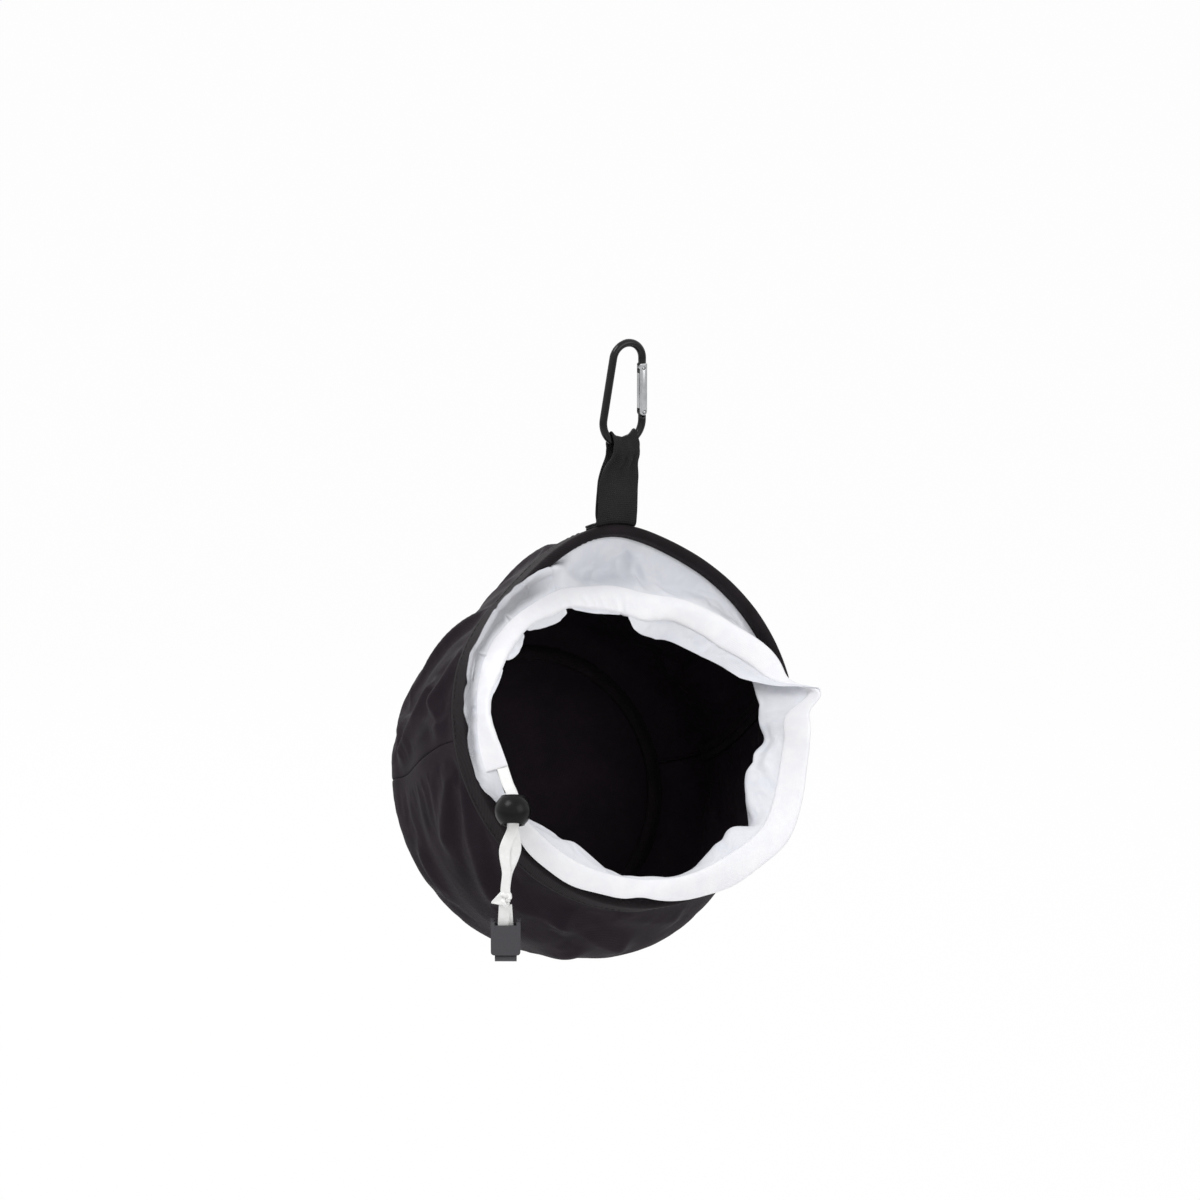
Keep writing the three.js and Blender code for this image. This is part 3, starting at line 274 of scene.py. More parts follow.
voile, tree, shader = new_material("cotton_voile_white", roughness=0.85, specular_ior_level=0.2,
                                   sheen_weight=0.05)
# This attribute marks the painted shade on the collar's left side, where the lower alpha applies.
flat = add(tree, "ShaderNodeAttribute", attribute_name="drawn_flat")
sheer = add(tree, "ShaderNodeMapRange", {"Value": flat.outputs["Fac"],
                                         "To Min": GATHERED_ALPHA, "To Max": PAINTED_SHADE_ALPHA})
tree.links.new(sheer.outputs["Result"], shader.inputs["Alpha"])
mottle(tree, shader, "#eceef6", "#f6f7fb", 14)
bump(tree, shader, woven(tree, VOILE_THREAD), 0.08, 0.5)

hem_cloth, tree, shader = new_material("folded_cotton_voile_white", roughness=0.85, specular_ior_level=0.25,
                                       sheen_weight=0.1)
patches = mottle(tree, shader, "#f1f1f6", "#fafafc", 9)
fine = bump(tree, shader, woven(tree, VOILE_THREAD), 0.08, 0.4)
bump(tree, shader, patches.outputs["Fac"], 0.6, 0.3, below=fine)

ribbon_cloth, tree, shader = new_material("satin_ribbon_white", roughness=0.55, specular_ior_level=0.4,
                                          sheen_weight=0.15)
mottle(tree, shader, "#f0f0ef", "#fbfbfa", 5)
bump(tree, shader, threads(tree, RIBBON_RIB, "X"), 0.1, 0.6)

white_thread, tree, shader = new_material("cotton_thread_white", roughness=0.7)
mottle(tree, shader, "#e8e8ec", "#fafafc", 2)
print("white cloths:", voile.name, hem_cloth.name, ribbon_cloth.name)

# %% [markdown]
# ### Metal and plastic
# The hook is steel rod under a gloss black coat, so it has one sharp highlight along it. Its gate is nickel
# plated and drawn, with faint lines along its length. The ball is turned acetal, satin black, and the cord
# end is moulded polypropylene with the fine grain of its mould.

# %% Coated rod, nickel plate, acetal and polypropylene
MOULD_GRAIN = 0.35
DRAWN_LINES_PER_METRE = (3000, 3000, 60)

coated_rod, tree, shader = new_material("coated_steel_rod_black", roughness=0.22, specular_ior_level=0.25,
                                        coat_weight=0.12, coat_roughness=0.1)
patches = mottle(tree, shader, "#080808", "#101011", 3)
bump(tree, shader, patches.outputs["Fac"], 0.05, 0.2)

nickel, tree, shader = new_material("nickel_plated_steel", metallic=1.0, roughness=0.24)
mottle(tree, shader, "#b9babc", "#d2d3d4", 4)
place = add(tree, "ShaderNodeTexCoord")
drawn = add(tree, "ShaderNodeMapping", {"Vector": place.outputs["Object"], "Scale": DRAWN_LINES_PER_METRE})
lines = add(tree, "ShaderNodeTexNoise", {"Vector": drawn.outputs["Vector"], "Scale": 1.0, "Detail": 2})
bump(tree, shader, lines.outputs["Fac"], 0.03, 0.4)

spring_wire, tree, shader = new_material("spring_steel_wire", metallic=1.0, roughness=0.35)
mottle(tree, shader, "#7f8184", "#9a9c9f", 1)

acetal, tree, shader = new_material("turned_acetal_black", roughness=0.28, specular_ior_level=0.18)
patches = mottle(tree, shader, "#080808", "#0f0f10", 2)
bump(tree, shader, patches.outputs["Fac"], 0.04, 0.3)

polypropylene, tree, shader = new_material("moulded_polypropylene_grey", roughness=0.5)
patches = mottle(tree, shader, "#363439", "#444247", MOULD_GRAIN)
bump(tree, shader, patches.outputs["Fac"], 0.04, 0.4)
print("hard finishes:", coated_rod.name, nickel.name, acetal.name, polypropylene.name)

# %% [markdown]
# ## Stage
# A pale floor far below and soft light from all round, with three broad lamps: over the left shoulder, from
# the right and from behind. The floor shows as white to the camera and still takes the shadow of the bag.


# %% Mesh helper
def mesh_piece(name, vertices, faces, material):
    """A smooth mesh of one material, put into the scene."""
    mesh = bpy.data.meshes.new(name)
    mesh.from_pydata(vertices, [], faces)
    mesh.materials.append(material)
    mesh.shade_smooth()
    piece = bpy.data.objects.new(name, mesh)
    scene.collection.objects.link(piece)
    return piece


print("mesh helper ready")

# %% Floor, world and lamps
FLOOR_BELOW = 0.35
FLOOR_WIDTH = 40
FLOOR_GLOW = 0.96
WORLD_LEVEL = 0.64

world = bpy.data.worlds.new("studio")
world.use_nodes = True
scene.world = world
tree = world.node_tree
rays = add(tree, "ShaderNodeLightPath")
seen = add(tree, "ShaderNodeMath", {0: rays.outputs["Is Camera Ray"], 1: rays.outputs["Is Glossy Ray"]},
           operation="MAXIMUM")
level = add(tree, "ShaderNodeMapRange", {"Value": seen.outputs[0], "To Min": WORLD_LEVEL, "To Max": 1.0})
tree.links.new(level.outputs["Result"], tree.nodes["Background"].inputs["Strength"])
tree.nodes["Background"].inputs["Color"].default_value = (1, 1, 1, 1)

floor_material, tree, shader = new_material("pale_floor", base_color=linear("#f2f2f2"), roughness=0.9)
rays = add(tree, "ShaderNodeLightPath")
glow = add(tree, "ShaderNodeEmission", {"Color": (1, 1, 1, 1), "Strength": 1.0})
share = add(tree, "ShaderNodeMath", {0: rays.outputs["Is Camera Ray"], 1: FLOOR_GLOW}, operation="MULTIPLY")
mix = add(tree, "ShaderNodeMixShader", {0: share.outputs[0], 1: shader.outputs["BSDF"], 2: glow.outputs[0]})
tree.links.new(mix.outputs[0], tree.nodes["Material Output"].inputs["Surface"])

half = FLOOR_WIDTH / 2
level_z = cad_box[0][2] - FLOOR_BELOW
corners = [(x * half, y * half, level_z) for x, y in ((-1, -1), (1, -1), (1, 1), (-1, 1))]
floor = mesh_piece("floor", corners, [(0, 1, 2, 3)], floor_material)


def lamp(name, right, up, toward, power, size):
    """A square lamp, placed by the picture's own directions and aimed at the mouth."""
    light = bpy.data.lights.new(name, "AREA")
    light.energy = power
    light.size = size
    holder = bpy.data.objects.new(name, light)
    holder.location = mouth_centre + picture_right * right + picture_up * up + to_camera * toward
    holder.rotation_mode = "QUATERNION"
    holder.rotation_quaternion = (holder.location - mouth_centre).to_track_quat("Z", "Y")
    scene.collection.objects.link(holder)


lamp("key", -0.9, 1.3, 1.0, 14.5, 0.9)
lamp("fill", 1.3, 0.4, 1.2, 7, 1.2)
lamp("rim_light", -0.6, 1.0, -1.2, 8, 0.9)
print("floor at", round(level_z, 3))

# %% [markdown]
# ## Making cloth meshes
# Nearly every piece here is a grid of points: rows one way and columns the other. Each grid also gets a map
# of the flat cloth in millimetres, so that threads keep their real size however the cloth is bent.


# %% Grid helper
def grid_piece(name, points, material, flat=None, round_rows=False, round_columns=False, thick_mm=0.0):
    """A mesh from rows and columns of points. flat holds other millimetre marks than the grid's own."""
    flat = flat or (marks(points, 0), marks(points, 1))
    rows, columns = points.shape[:2]
    i = np.arange(rows if round_rows else rows - 1)[:, None]
    j = np.arange(columns if round_columns else columns - 1)[None, :]
    corners = [(i, j), (i + 1, j), (i + 1, j + 1), (i, j + 1)]
    faces = [(r % rows) * columns + c % columns for r, c in corners]
    faces = np.stack(np.broadcast_arrays(*faces), axis=-1).reshape(-1, 4)
    places = [np.stack(np.broadcast_arrays(flat[0][r], flat[1][c]), axis=-1) for r, c in corners]
    piece = mesh_piece(name, points.reshape(-1, 3).tolist(), faces.tolist(), material)
    layer = piece.data.uv_layers.new(name="cloth_mm")
    layer.data.foreach_set("uv", np.stack(places, axis=2).astype(np.float32).ravel())
    if thick_mm:
        solid = piece.modifiers.new("thickness", "SOLIDIFY")
        solid.thickness = thick_mm * MM
        solid.offset = -1
    return piece


def smooth_surface(piece):
    """One level of subdivision, which rounds the grid's facets."""
    smooth = piece.modifiers.new("smooth", "SUBSURF")
    smooth.levels = 1
    smooth.render_levels = 1


def marks(points, axis):
    """Millimetre marks along one axis of a grid, from the mean length of its steps, with one to spare."""
    steps = np.linalg.norm(np.diff(points, axis=axis), axis=2).mean(axis=1 - axis) / MM
    return np.concatenate([[0], np.cumsum(steps), [steps.sum() + steps[-1]]])


def dress(piece, body, slot, *nodes):
    """The piece moves with a body and stands for these solids, which it hides. The slot is not used."""
    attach(piece, body)
    if nodes:
        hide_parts(*nodes)
    return piece


print("grid helper ready")

# %% Curve helper
CURVE_STEPS = 24


def curve_through(points):
    """Points on a centripetal Catmull-Rom curve, so many to each stretch, and their distances along it."""
    points = np.array(points, float)
    ends = [2 * points[0] - points[1], *points, 2 * points[-1] - points[-2]]
    stretches = []
    for p0, p1, p2, p3 in zip(ends, ends[1:], ends[2:], ends[3:]):
        knots = [np.linalg.norm(b - a) ** 0.5 for a, b in ((p0, p1), (p1, p2), (p2, p3))]
        first, second, third = np.cumsum(knots)
        t = np.linspace(first, second, CURVE_STEPS, endpoint=False)[:, None]
        a1 = p0 + (p1 - p0) * t / first
        a2 = p1 + (p2 - p1) * (t - first) / (second - first)
        a3 = p2 + (p3 - p2) * (t - second) / (third - second)
        b1 = a1 + (a2 - a1) * t / second
        b2 = a2 + (a3 - a2) * (t - first) / (third - first)
        stretches.append(b1 + (b2 - b1) * (t - first) / (second - first))
    line = np.concatenate([*stretches, points[-1:]])
    return line, distances(line)


def smooth_line(points, steps):
    """Evenly spaced points on a smooth curve through the given points."""
    line, along = curve_through(points)
    even = np.linspace(0, along[-1], steps)
    return np.stack([np.interp(even, along, line[:, k]) for k in range(line.shape[1])], axis=1)


print("curve helper ready")

# %% [markdown]
# ### Stitches
# A row of stitches is what tells the eye that cloth is sewn. Each one is a short bent thread whose two ends
# dive into the cloth, so the row is made of small closed tubes along a line.

# %% Stitch helper
STITCH_LENGTH = 2.6
STITCH_GAP = 0.9
STITCH_DIVE = 0.6
STITCH_SIDES = 6
STITCH_RINGS = 7
THREAD = 0.45
FINE_THREAD = 0.35


def stitch_row(name, line, facing, material, thread_mm=THREAD):
    """Stitches along a line of points, raised along the facing directions."""
    along = distances(line) / MM
    count = int(along[-1] // (STITCH_LENGTH + STITCH_GAP))
    share = np.linspace(0, 1, STITCH_RINGS)
    raised = (np.sin(np.pi * share) - STITCH_DIVE) * thread_mm * STITCH_DIVE * MM
    radius = thread_mm / 2 * MM * np.sqrt(np.clip(1 - (2 * share - 1) ** 6, 0.05, 1))
    turns = np.arange(STITCH_SIDES) * 2 * math.pi / STITCH_SIDES
    vertices = []
    faces = []

    def at(where, values):
        return np.stack([np.interp(where, along, values[:, k]) for k in range(3)], axis=-1)

    for n in range(count):
        where = n * (STITCH_LENGTH + STITCH_GAP) + share * STITCH_LENGTH
        normal = unit(at(where, facing))
        centre = at(where, line) + normal * raised[:, None]
        side = np.cross(unit(np.gradient(centre, axis=0)), normal)
        ring = side[:, None] * np.cos(turns)[:, None] + normal[:, None] * np.sin(turns)[:, None]
        first = len(vertices)
        vertices += (centre[:, None] + radius[:, None, None] * ring).reshape(-1, 3).tolist()
        for k in range(STITCH_RINGS - 1):
            for s in range(STITCH_SIDES):
                a = first + k * STITCH_SIDES + s
                b = first + k * STITCH_SIDES + (s + 1) % STITCH_SIDES
                faces.append((a, b, b + STITCH_SIDES, a + STITCH_SIDES))
        faces.append([first + s for s in reversed(range(STITCH_SIDES))])
        faces.append([first + (STITCH_RINGS - 1) * STITCH_SIDES + s for s in range(STITCH_SIDES)])
    print(name, "stitches:", count)
    return mesh_piece(name, vertices, faces, material)


print("stitch helper ready")

# %% [markdown]
# ## The rim
# A sprung hoop keeps the mouth round, and a twill tape is folded over it and sewn through both leaves. The
# hoop is a circle that the loop draws up into a low peak. All the other cloth starts from this line.

# %% Rim line
RIM_DIAMETER = 200
LOOP_ANGLE = 7
RIM_PEAK = 4.5
RIM_PEAK_HALF_ANGLE = 16
LEFT_SHOULDER_FLAT = 5
RIGHT_SHOULDER_FLAT = 0.5
SHOULDER_ANGLE = 42
SHOULDER_HALF_ANGLE = 20
CROWN_INNER = 1.8
CROWN_OUTER = 2.9
BINDING_WIDTH = 16
INNER_LEAF_WIDTH = 8
LAYER_TOP = -4.7


def rim_radius(angle):
    """Radius of the hoop at an angle, clockwise from the top in degrees."""
    turn = (np.asarray(angle, float) - LOOP_ANGLE + 180) % 360 - 180
    peak = RIM_PEAK * np.exp(-((turn / RIM_PEAK_HALF_ANGLE) ** 2))
    flat = np.where(turn < 0, LEFT_SHOULDER_FLAT, RIGHT_SHOULDER_FLAT)
    beside = (np.abs(turn) - SHOULDER_ANGLE) / SHOULDER_HALF_ANGLE
    return RIM_DIAMETER / 2 - CROWN_OUTER + peak - flat * np.exp(-(beside ** 2))


def around(angle, radius, z, drop=0.0):
    """Points of the drum's frame at angles clockwise from the top."""
    turn = np.radians(angle)
    parts = np.broadcast_arrays(radius * np.sin(turn), radius * np.cos(turn) - drop, z)
    return np.stack(parts, axis=-1)


def ripple(angle, counts, seed):
    """A wave round the rim from a few whole counts of waves, between about -1 and 1."""
    phases = np.random.default_rng(seed).uniform(0, 2 * math.pi, len(counts))
    waves = [np.sin(np.radians(angle) * n + phase) for n, phase in zip(counts, phases)]
    return sum(waves) / math.sqrt(len(counts))


print("rim radius at the loop:", round(float(rim_radius(LOOP_ANGLE)), 1), "mm")

# %% Twill binding folded over the hoop
BINDING_STEPS = 360
BINDING_WAVE = 0.35
LEAF_POINTS = 9
LEAF_LIFT = 0.1
CROWN_POINTS = 13
SEW_MARGIN = 2.6

angles = np.arange(BINDING_STEPS) * 360 / BINDING_STEPS
outer_leaf, inner_leaf = (np.linspace(-width, -CROWN_OUTER, LEAF_POINTS, endpoint=False)
                          for width in (BINDING_WIDTH, INNER_LEAF_WIDTH))
crown = np.linspace(0, math.pi, CROWN_POINTS)
leaf_offset = np.full(LEAF_POINTS, CROWN_OUTER)
outer_offsets = np.concatenate([leaf_offset, CROWN_OUTER * np.cos(crown), -leaf_offset])
outer_heights = np.concatenate([outer_leaf, CROWN_OUTER * (np.sin(crown) - 1), inner_leaf[::-1]])
inner_offsets = outer_offsets * (CROWN_INNER / CROWN_OUTER)
inner_heights = np.concatenate([outer_leaf, -CROWN_OUTER + CROWN_INNER * np.sin(crown), inner_leaf[::-1]])
offsets = np.concatenate([inner_offsets, outer_offsets[::-1]])
heights = np.concatenate([inner_heights, outer_heights[::-1]])
looseness = np.clip(-heights / BINDING_WIDTH, 0, 1)
wave = BINDING_WAVE * ripple(angles, (9, 14, 23, 31), 1)[:, None] * looseness
section = offsets + np.sign(offsets) * (0.5 * wave + LEAF_LIFT * looseness)
binding_points = in_row_frame(around(
    angles[:, None], rim_radius(angles)[:, None] + section, heights + 0.5 * wave))
binding = grid_piece("rim_binding_tape", binding_points, twill, round_rows=True, round_columns=True)
dress(binding, "bag", "black_twill_tape", "rim_binding")

ring = np.arange(0, 361, 0.5)
for label, side, leaf_width in (("outer", 1, BINDING_WIDTH), ("inner", -1, INNER_LEAF_WIDTH)):
    radius = rim_radius(ring) + side * (CROWN_OUTER + LEAF_LIFT)
    line = in_row_frame(around(ring, radius, SEW_MARGIN - leaf_width))
    facing = side * (line - in_row_frame(around(ring, 0, SEW_MARGIN - leaf_width)))
    row = stitch_row(f"rim_stitches_{label}", line, facing, black_thread, FINE_THREAD)
    dress(row, "bag", "black_twill_tape")
print("binding grid:", binding_points.shape)

# %% [markdown]
# ## The drum
# Two panels of poplin meet in seams at the left and the right and turn under into a flat base. The cloth
# hangs between the stiff rim and the base seam, slack enough to keep soft folds from when it lay packed.
# Each fold is a straight line on the cloth, from an angle and a share of the depth to another angle and
# share, with its strength. It is a ridge with a shallow valley on either side, and a narrow crest on top,
# where the cloth was pressed sharpest.

# %% Folds of the wall
CREASE_HEIGHT = 3
CREASE_WIDTH = 9
CREASE_FADE = 0.1
CREST_SHARE = 0.3
CREST_WIDTH = 3
WALL_CREASES = [
    (317, 0.12, 306, 0.95, 1),
    (300, 0.06, 288, 0.26, 0.8),
    (295, 0.4, 286, 0.85, 1),
    (288, 0.24, 280, 0.2, 0.7),
    (262, 0.2, 251, 0.45, 0.8),
    (257, 0.06, 228, 0.4, 1),
    (252, 0.88, 238, 0.95, 0.8),
    (222, 0.33, 206, 0.23, 0.9),
    (206, 0.23, 184, 0.4, 1),
    (204, 0.9, 196, 0.5, 0.7),
    (190, 0.12, 168, 0.26, 0.7),
    (150, 0.1, 128, 0.42, 1),
    (118, 0.2, 104, 0.5, 0.8),
    (122, 0.6, 112, 0.9, 0.9),
    (72, 0.1, 78, 0.6, 0.9),
    (52, 0.15, 60, 0.85, 1),
    (28, 0.1, 20, 0.9, 1),
    (350, 0.1, 342, 0.85, 0.9),
]


def smoothstep(value, low, high):
    """0 below low, 1 above high and smooth between."""
    share = np.clip((value - low) / (high - low), 0, 1)
    return share * share * (3 - 2 * share)


def crease_lift(angle, share, creases, radius, depth, width, crest):
    """How far folds lift a cloth of a radius and depth, as a share of one fold's height."""
    angle, share = np.broadcast_arrays(angle, share)
    lift = np.zeros(angle.shape)
    for from_angle, from_share, to_angle, to_share, part in creases:
        turn = (angle - from_angle + 180) % 360 - 180
        here = np.stack([np.radians(turn) * radius, (share - from_share) * depth], axis=-1)
        line = np.array([math.radians(to_angle - from_angle) * radius, (to_share - from_share) * depth])
        along = np.clip(here @ line / (line @ line), 0, 1)
        distance = np.linalg.norm(here - along[..., None] * line, axis=-1)
        away = (distance / width) ** 2
        lift += part * ((1 - away) * np.exp(-away) + CREST_SHARE * np.exp(-((distance / crest) ** 2)))
    return lift * smoothstep(share, 0, CREASE_FADE) * smoothstep(1 - share, 0, CREASE_FADE)


print("folds of the wall:", len(WALL_CREASES))

# %% [markdown]
# ### Loft
# One function gives the whole wall: down from inside the binding, out over the sagging belly and round the
# corner into the base. The left seam slants, because the panels were sewn a little askew.

# %% Lofted shell of the drum
WALL_THICKNESS = 1.2
BASE_DIAMETER = 192
BASE_CORNER_RADIUS = 20
WALL_BULGE = 3
WALL_SAG = 9
FIT = 0.3
LEFT_SEAM = 270
RIGHT_SEAM = 90
SEAM_RIM_TURN = 3
SEAM_BASE_TURN = 9
SEAM_TURN_REACH = 30
WALL_ROWS = 240
WALL_COLUMNS = 48
CORNER_COLUMNS = 10

base_radius = (BASE_DIAMETER - WALL_THICKNESS) / 2
corner_radius = BASE_CORNER_RADIUS - WALL_THICKNESS / 2
wall_start = -BINDING_WIDTH - FIT
corner_start = -(BAG_DEPTH - BASE_CORNER_RADIUS)
wall_depth = wall_start - corner_start


def drum_wall(angle, offset):
    """Rows of wall points at angles, from inside the binding to the base seam, moved out by an offset."""
    down = np.concatenate([[0], np.linspace(0, 1, WALL_COLUMNS), np.ones(CORNER_COLUMNS)])
    bend = np.concatenate([np.zeros(WALL_COLUMNS), np.linspace(0, math.pi / 2, CORNER_COLUMNS + 1)])
    angle = np.asarray(angle, float)[:, None]
    from_seam = ((angle - LEFT_SEAM + 180) % 360 - 180) / SEAM_TURN_REACH
    angle = angle + (SEAM_RIM_TURN + (SEAM_BASE_TURN - SEAM_RIM_TURN) * down) * np.exp(-(from_seam ** 2))
    ease = smoothstep(down, 0, 1)
    seat = rim_radius(angle) + CROWN_INNER - FIT - WALL_THICKNESS / 2
    below = np.clip(-np.cos(np.radians(angle)), 0, None) ** 2
    belly = (WALL_BULGE + WALL_SAG * below) * np.sin(math.pi * down) ** 2
    radius = seat + (base_radius - seat) * ease + belly
    lift = crease_lift(angle, down, WALL_CREASES, base_radius, wall_depth, CREASE_WIDTH, CREST_WIDTH)
    radius += CREASE_HEIGHT * lift
    radius += offset * np.cos(bend) - corner_radius * (1 - np.cos(bend))
    z = wall_start - wall_depth * down - (corner_radius + offset) * np.sin(bend)
    z[0] = LAYER_TOP
    return around(angle, radius, z, BASE_DROOP * ease)


wall_angles = np.arange(WALL_ROWS) * 360 / WALL_ROWS
wall_points = in_row_frame(drum_wall(wall_angles, WALL_THICKNESS / 2))
wall_marks = marks(wall_points, 1)
print("drum grid:", wall_points.shape)

# %% [markdown]
# ### Settling
# The loft has the main folds. Small wrinkles come from a short cloth simulation: the cloth gets a little
# slack, hangs from its seams, and only the fine part of its movement is kept, so the main form stays.

# %% Cloth simulation helper
CLOTH_SETTINGS = {
    "quality": 8,
    "mass": 0.02,
    "tension_stiffness": 8,
    "compression_stiffness": 8,
    "shear_stiffness": 3,
    "tension_damping": 8,
    "compression_damping": 8,
    "air_damping": 4,
}


def averaged(values, rows, columns):
    """A grid of vectors that closes on itself along its rows, averaged over so many neighbours each way."""
    total = sum(np.roll(values, step, axis=0) for step in range(-rows, rows + 1)) / (2 * rows + 1)
    padded = np.pad(total, ((0, 0), (columns, columns), (0, 0)), mode="edge")
    width = values.shape[1]
    return sum(padded[:, step:step + width] for step in range(2 * columns + 1)) / (2 * columns + 1)


def settle(points, held, slack, cap_mm, frames, spread, bending=0.6, gravity=1.0):
    """Lets a grid of cloth hang with some slack, held where held is 1. Returns where its points went."""
    shape = points.shape
    piece = grid_piece("settling", points, poplin, round_rows=True)
    group = piece.vertex_groups.new(name="held")
    for index, weight in enumerate(np.asarray(held, float).ravel()):
        group.add([index], weight, "REPLACE")
    cloth = piece.modifiers.new("cloth", "CLOTH")
    cloth.point_cache.frame_end = frames
    for name, value in CLOTH_SETTINGS.items():
        setattr(cloth.settings, name, value)
    cloth.settings.bending_stiffness = bending
    cloth.settings.shrink_min = -slack
    cloth.settings.effector_weights.gravity = gravity
    cloth.settings.vertex_group_mass = "held"
    for number in range(1, frames + 1):
        scene.frame_set(number)
    result = piece.evaluated_get(bpy.context.evaluated_depsgraph_get()).data
    moved = np.zeros(len(result.vertices) * 3)
    result.vertices.foreach_get("co", moved)
    scene.frame_set(1)
    mesh = piece.data
    bpy.data.objects.remove(piece)
    bpy.data.meshes.remove(mesh)
    shift = moved.reshape(shape) - points
    free = 1 - averaged(np.asarray(held, float)[..., None], 0, 3)
    shift = (shift - averaged(shift, *spread)) * free
    length = np.linalg.norm(shift, axis=-1, keepdims=True)
    cap = cap_mm * MM
    shift *= np.where(length > 0, cap * np.tanh(length / cap) / np.maximum(length, 1e-9), 0)
    mean, most = (round(float(value / MM), 2) for value in (length.mean(), length.max()))
    print("settled: mean move", mean, "mm, most", most)
    return points + shift


print("simulation helper ready")

# %% Settle the drum and cut it into panels
WALL_SLACK = 0.02
WALL_CAP = 1.3
WALL_FRAMES = 22
WALL_SPREAD = (6, 4)
SEAM_HOLD = 3
SEAM_ALLOWANCE = 4
SEAM_GROOVE = 1.1
SEAM_LIP = 0.16
SEAM_OVERLAP = 0.12
POPLIN_THICKNESS = 0.8

quarter = WALL_ROWS // 4
held = np.zeros(wall_points.shape[:2])
held[:, :3] = 1
held[:, -CORNER_COLUMNS // 2:] = 1
for seam_row in (quarter, 3 * quarter):
    held[seam_row - SEAM_HOLD:seam_row + SEAM_HOLD + 1] = 1
wall_points = settle(wall_points, held, WALL_SLACK, WALL_CAP, WALL_FRAMES, WALL_SPREAD, gravity=0.5)


def seam_rows(edge, beside, inward):
    """Rows of the allowance that turns in at a panel's edge, and the lip that stays outside."""
    step = beside - edge
    past = edge - step * SEAM_OVERLAP
    return [past + inward * SEAM_ALLOWANCE, past + inward * SEAM_GROOVE, edge + step * SEAM_LIP]


for label, first in (("upper", -quarter), ("lower", quarter)):
    rows = np.arange(first, first + WALL_ROWS // 2 + 1) % WALL_ROWS
    inward = in_row_frame(drum_wall(wall_angles[rows], -1)) - in_row_frame(drum_wall(wall_angles[rows], 0))
    points = wall_points[rows]
    first_edge = seam_rows(points[0], points[1], inward[0])
    last_edge = seam_rows(points[-1], points[-2], inward[-1])[::-1]
    points = np.concatenate([first_edge, points[1:-1], last_edge])
    panel = grid_piece(f"{label}_wall_cloth", points, poplin, (marks(points, 0), wall_marks),
                       thick_mm=POPLIN_THICKNESS)
    smooth_surface(panel)
    dress(panel, "bag", "black_bag_fabric", f"{label}_wall_panel")
print("panels cut at rows", quarter, "and", 3 * quarter)

# %% [markdown]
# ### Base and its seams
# The base is a flat disc of the same cloth, sewn to the turned-under wall. Inside, tapes cover the seams.

# %% Base disc, inner tapes
BASE_CELLS = 48
BASE_STEPS = 120
BASE_LAP = 1.2
BASE_DIMPLE = 0.5
BASE_SEW_LINE = 2.2
SEAM_TAPE_WIDTH = 9
SEAM_TAPE_THICKNESS = 0.9
SEAM_TAPE_START = 8
BASE_BINDING_WIDTH = 8

base_edge = base_radius - corner_radius - FIT
square = np.linspace(-1, 1, BASE_CELLS + 1)
side, rise = np.meshgrid(square, square, indexing="ij")
disc_x = side * np.sqrt(1 - rise ** 2 / 2) * (base_edge + BASE_LAP)
disc_y = rise * np.sqrt(1 - side ** 2 / 2) * (base_edge + BASE_LAP)
waves = np.sin(3.1 * side + 0.8) * np.sin(2.7 * rise - 0.5)
disc_z = -BAG_DEPTH + WALL_THICKNESS / 2 + BASE_DIMPLE * waves * (1 - side ** 2) * (1 - rise ** 2)
disc_points = in_row_frame(np.stack([disc_x, disc_y - BASE_DROOP, disc_z], axis=-1))
disc = grid_piece("base_cloth", disc_points, poplin, thick_mm=POPLIN_THICKNESS)
dress(disc, "bag", "black_bag_fabric", "base_panel")

line = in_row_frame(around(np.arange(0, 361, 1.0), base_edge - BASE_SEW_LINE, -BAG_DEPTH, BASE_DROOP))
facing = np.tile(-np.array(outward), (len(line), 1))
dress(stitch_row("base_stitches", line, facing, black_thread), "bag", "black_bag_fabric")

tape_low = -BAG_DEPTH + WALL_THICKNESS + FIT
tape_high = tape_low + SEAM_TAPE_THICKNESS
tape_edge = base_edge + FIT
tape_section = np.array([
    (tape_edge, tape_low),
    (tape_edge, tape_high),
    (tape_edge - BASE_BINDING_WIDTH / 2, tape_high + 0.2),
    (tape_edge - BASE_BINDING_WIDTH, tape_high),
    (tape_edge - BASE_BINDING_WIDTH, tape_low),
])
tape_angles = np.arange(BASE_STEPS)[:, None] * 360 / BASE_STEPS
ring_points = in_row_frame(around(tape_angles, *tape_section.T, BASE_DROOP))
base_tape = grid_piece("base_seam_tape", ring_points, twill, round_rows=True, round_columns=True)
dress(base_tape, "bag", "black_twill_tape", "base_seam_binding")

tape_half = math.degrees(SEAM_TAPE_WIDTH / 2 / base_radius)
for label, angle in (("left", LEFT_SEAM), ("right", RIGHT_SEAM)):
    outer = drum_wall(angle + np.linspace(-tape_half, tape_half, 7), -WALL_THICKNESS / 2 - FIT)
    inside = np.flatnonzero(outer[3, :, 2] < -BINDING_WIDTH - SEAM_TAPE_START)
    strip = in_row_frame(outer[:, inside[:-CORNER_COLUMNS]])
    tape = grid_piece(f"{label}_seam_tape_cloth", strip, twill, thick_mm=SEAM_TAPE_THICKNESS)
    dress(tape, "bag", "black_twill_tape", f"{label}_seam_tape")
print("base edge radius:", base_edge, "mm")

# %% [markdown]
# ## The collar
# A sleeve of voile is sewn inside the rim, and near its free edge a hem carries the drawstring. Drawn up,
# the collar bellies into the drum at the top, hangs as a flap at the upper right, turns out over the rim at
# the right and below, and leans over it at the left. Every 20 degrees, three places give its section: the
# belly, the hem's seam and the hem's edge, each by how far inside the rim and how far in front of it it
# lies. Tucks sharpen it between.

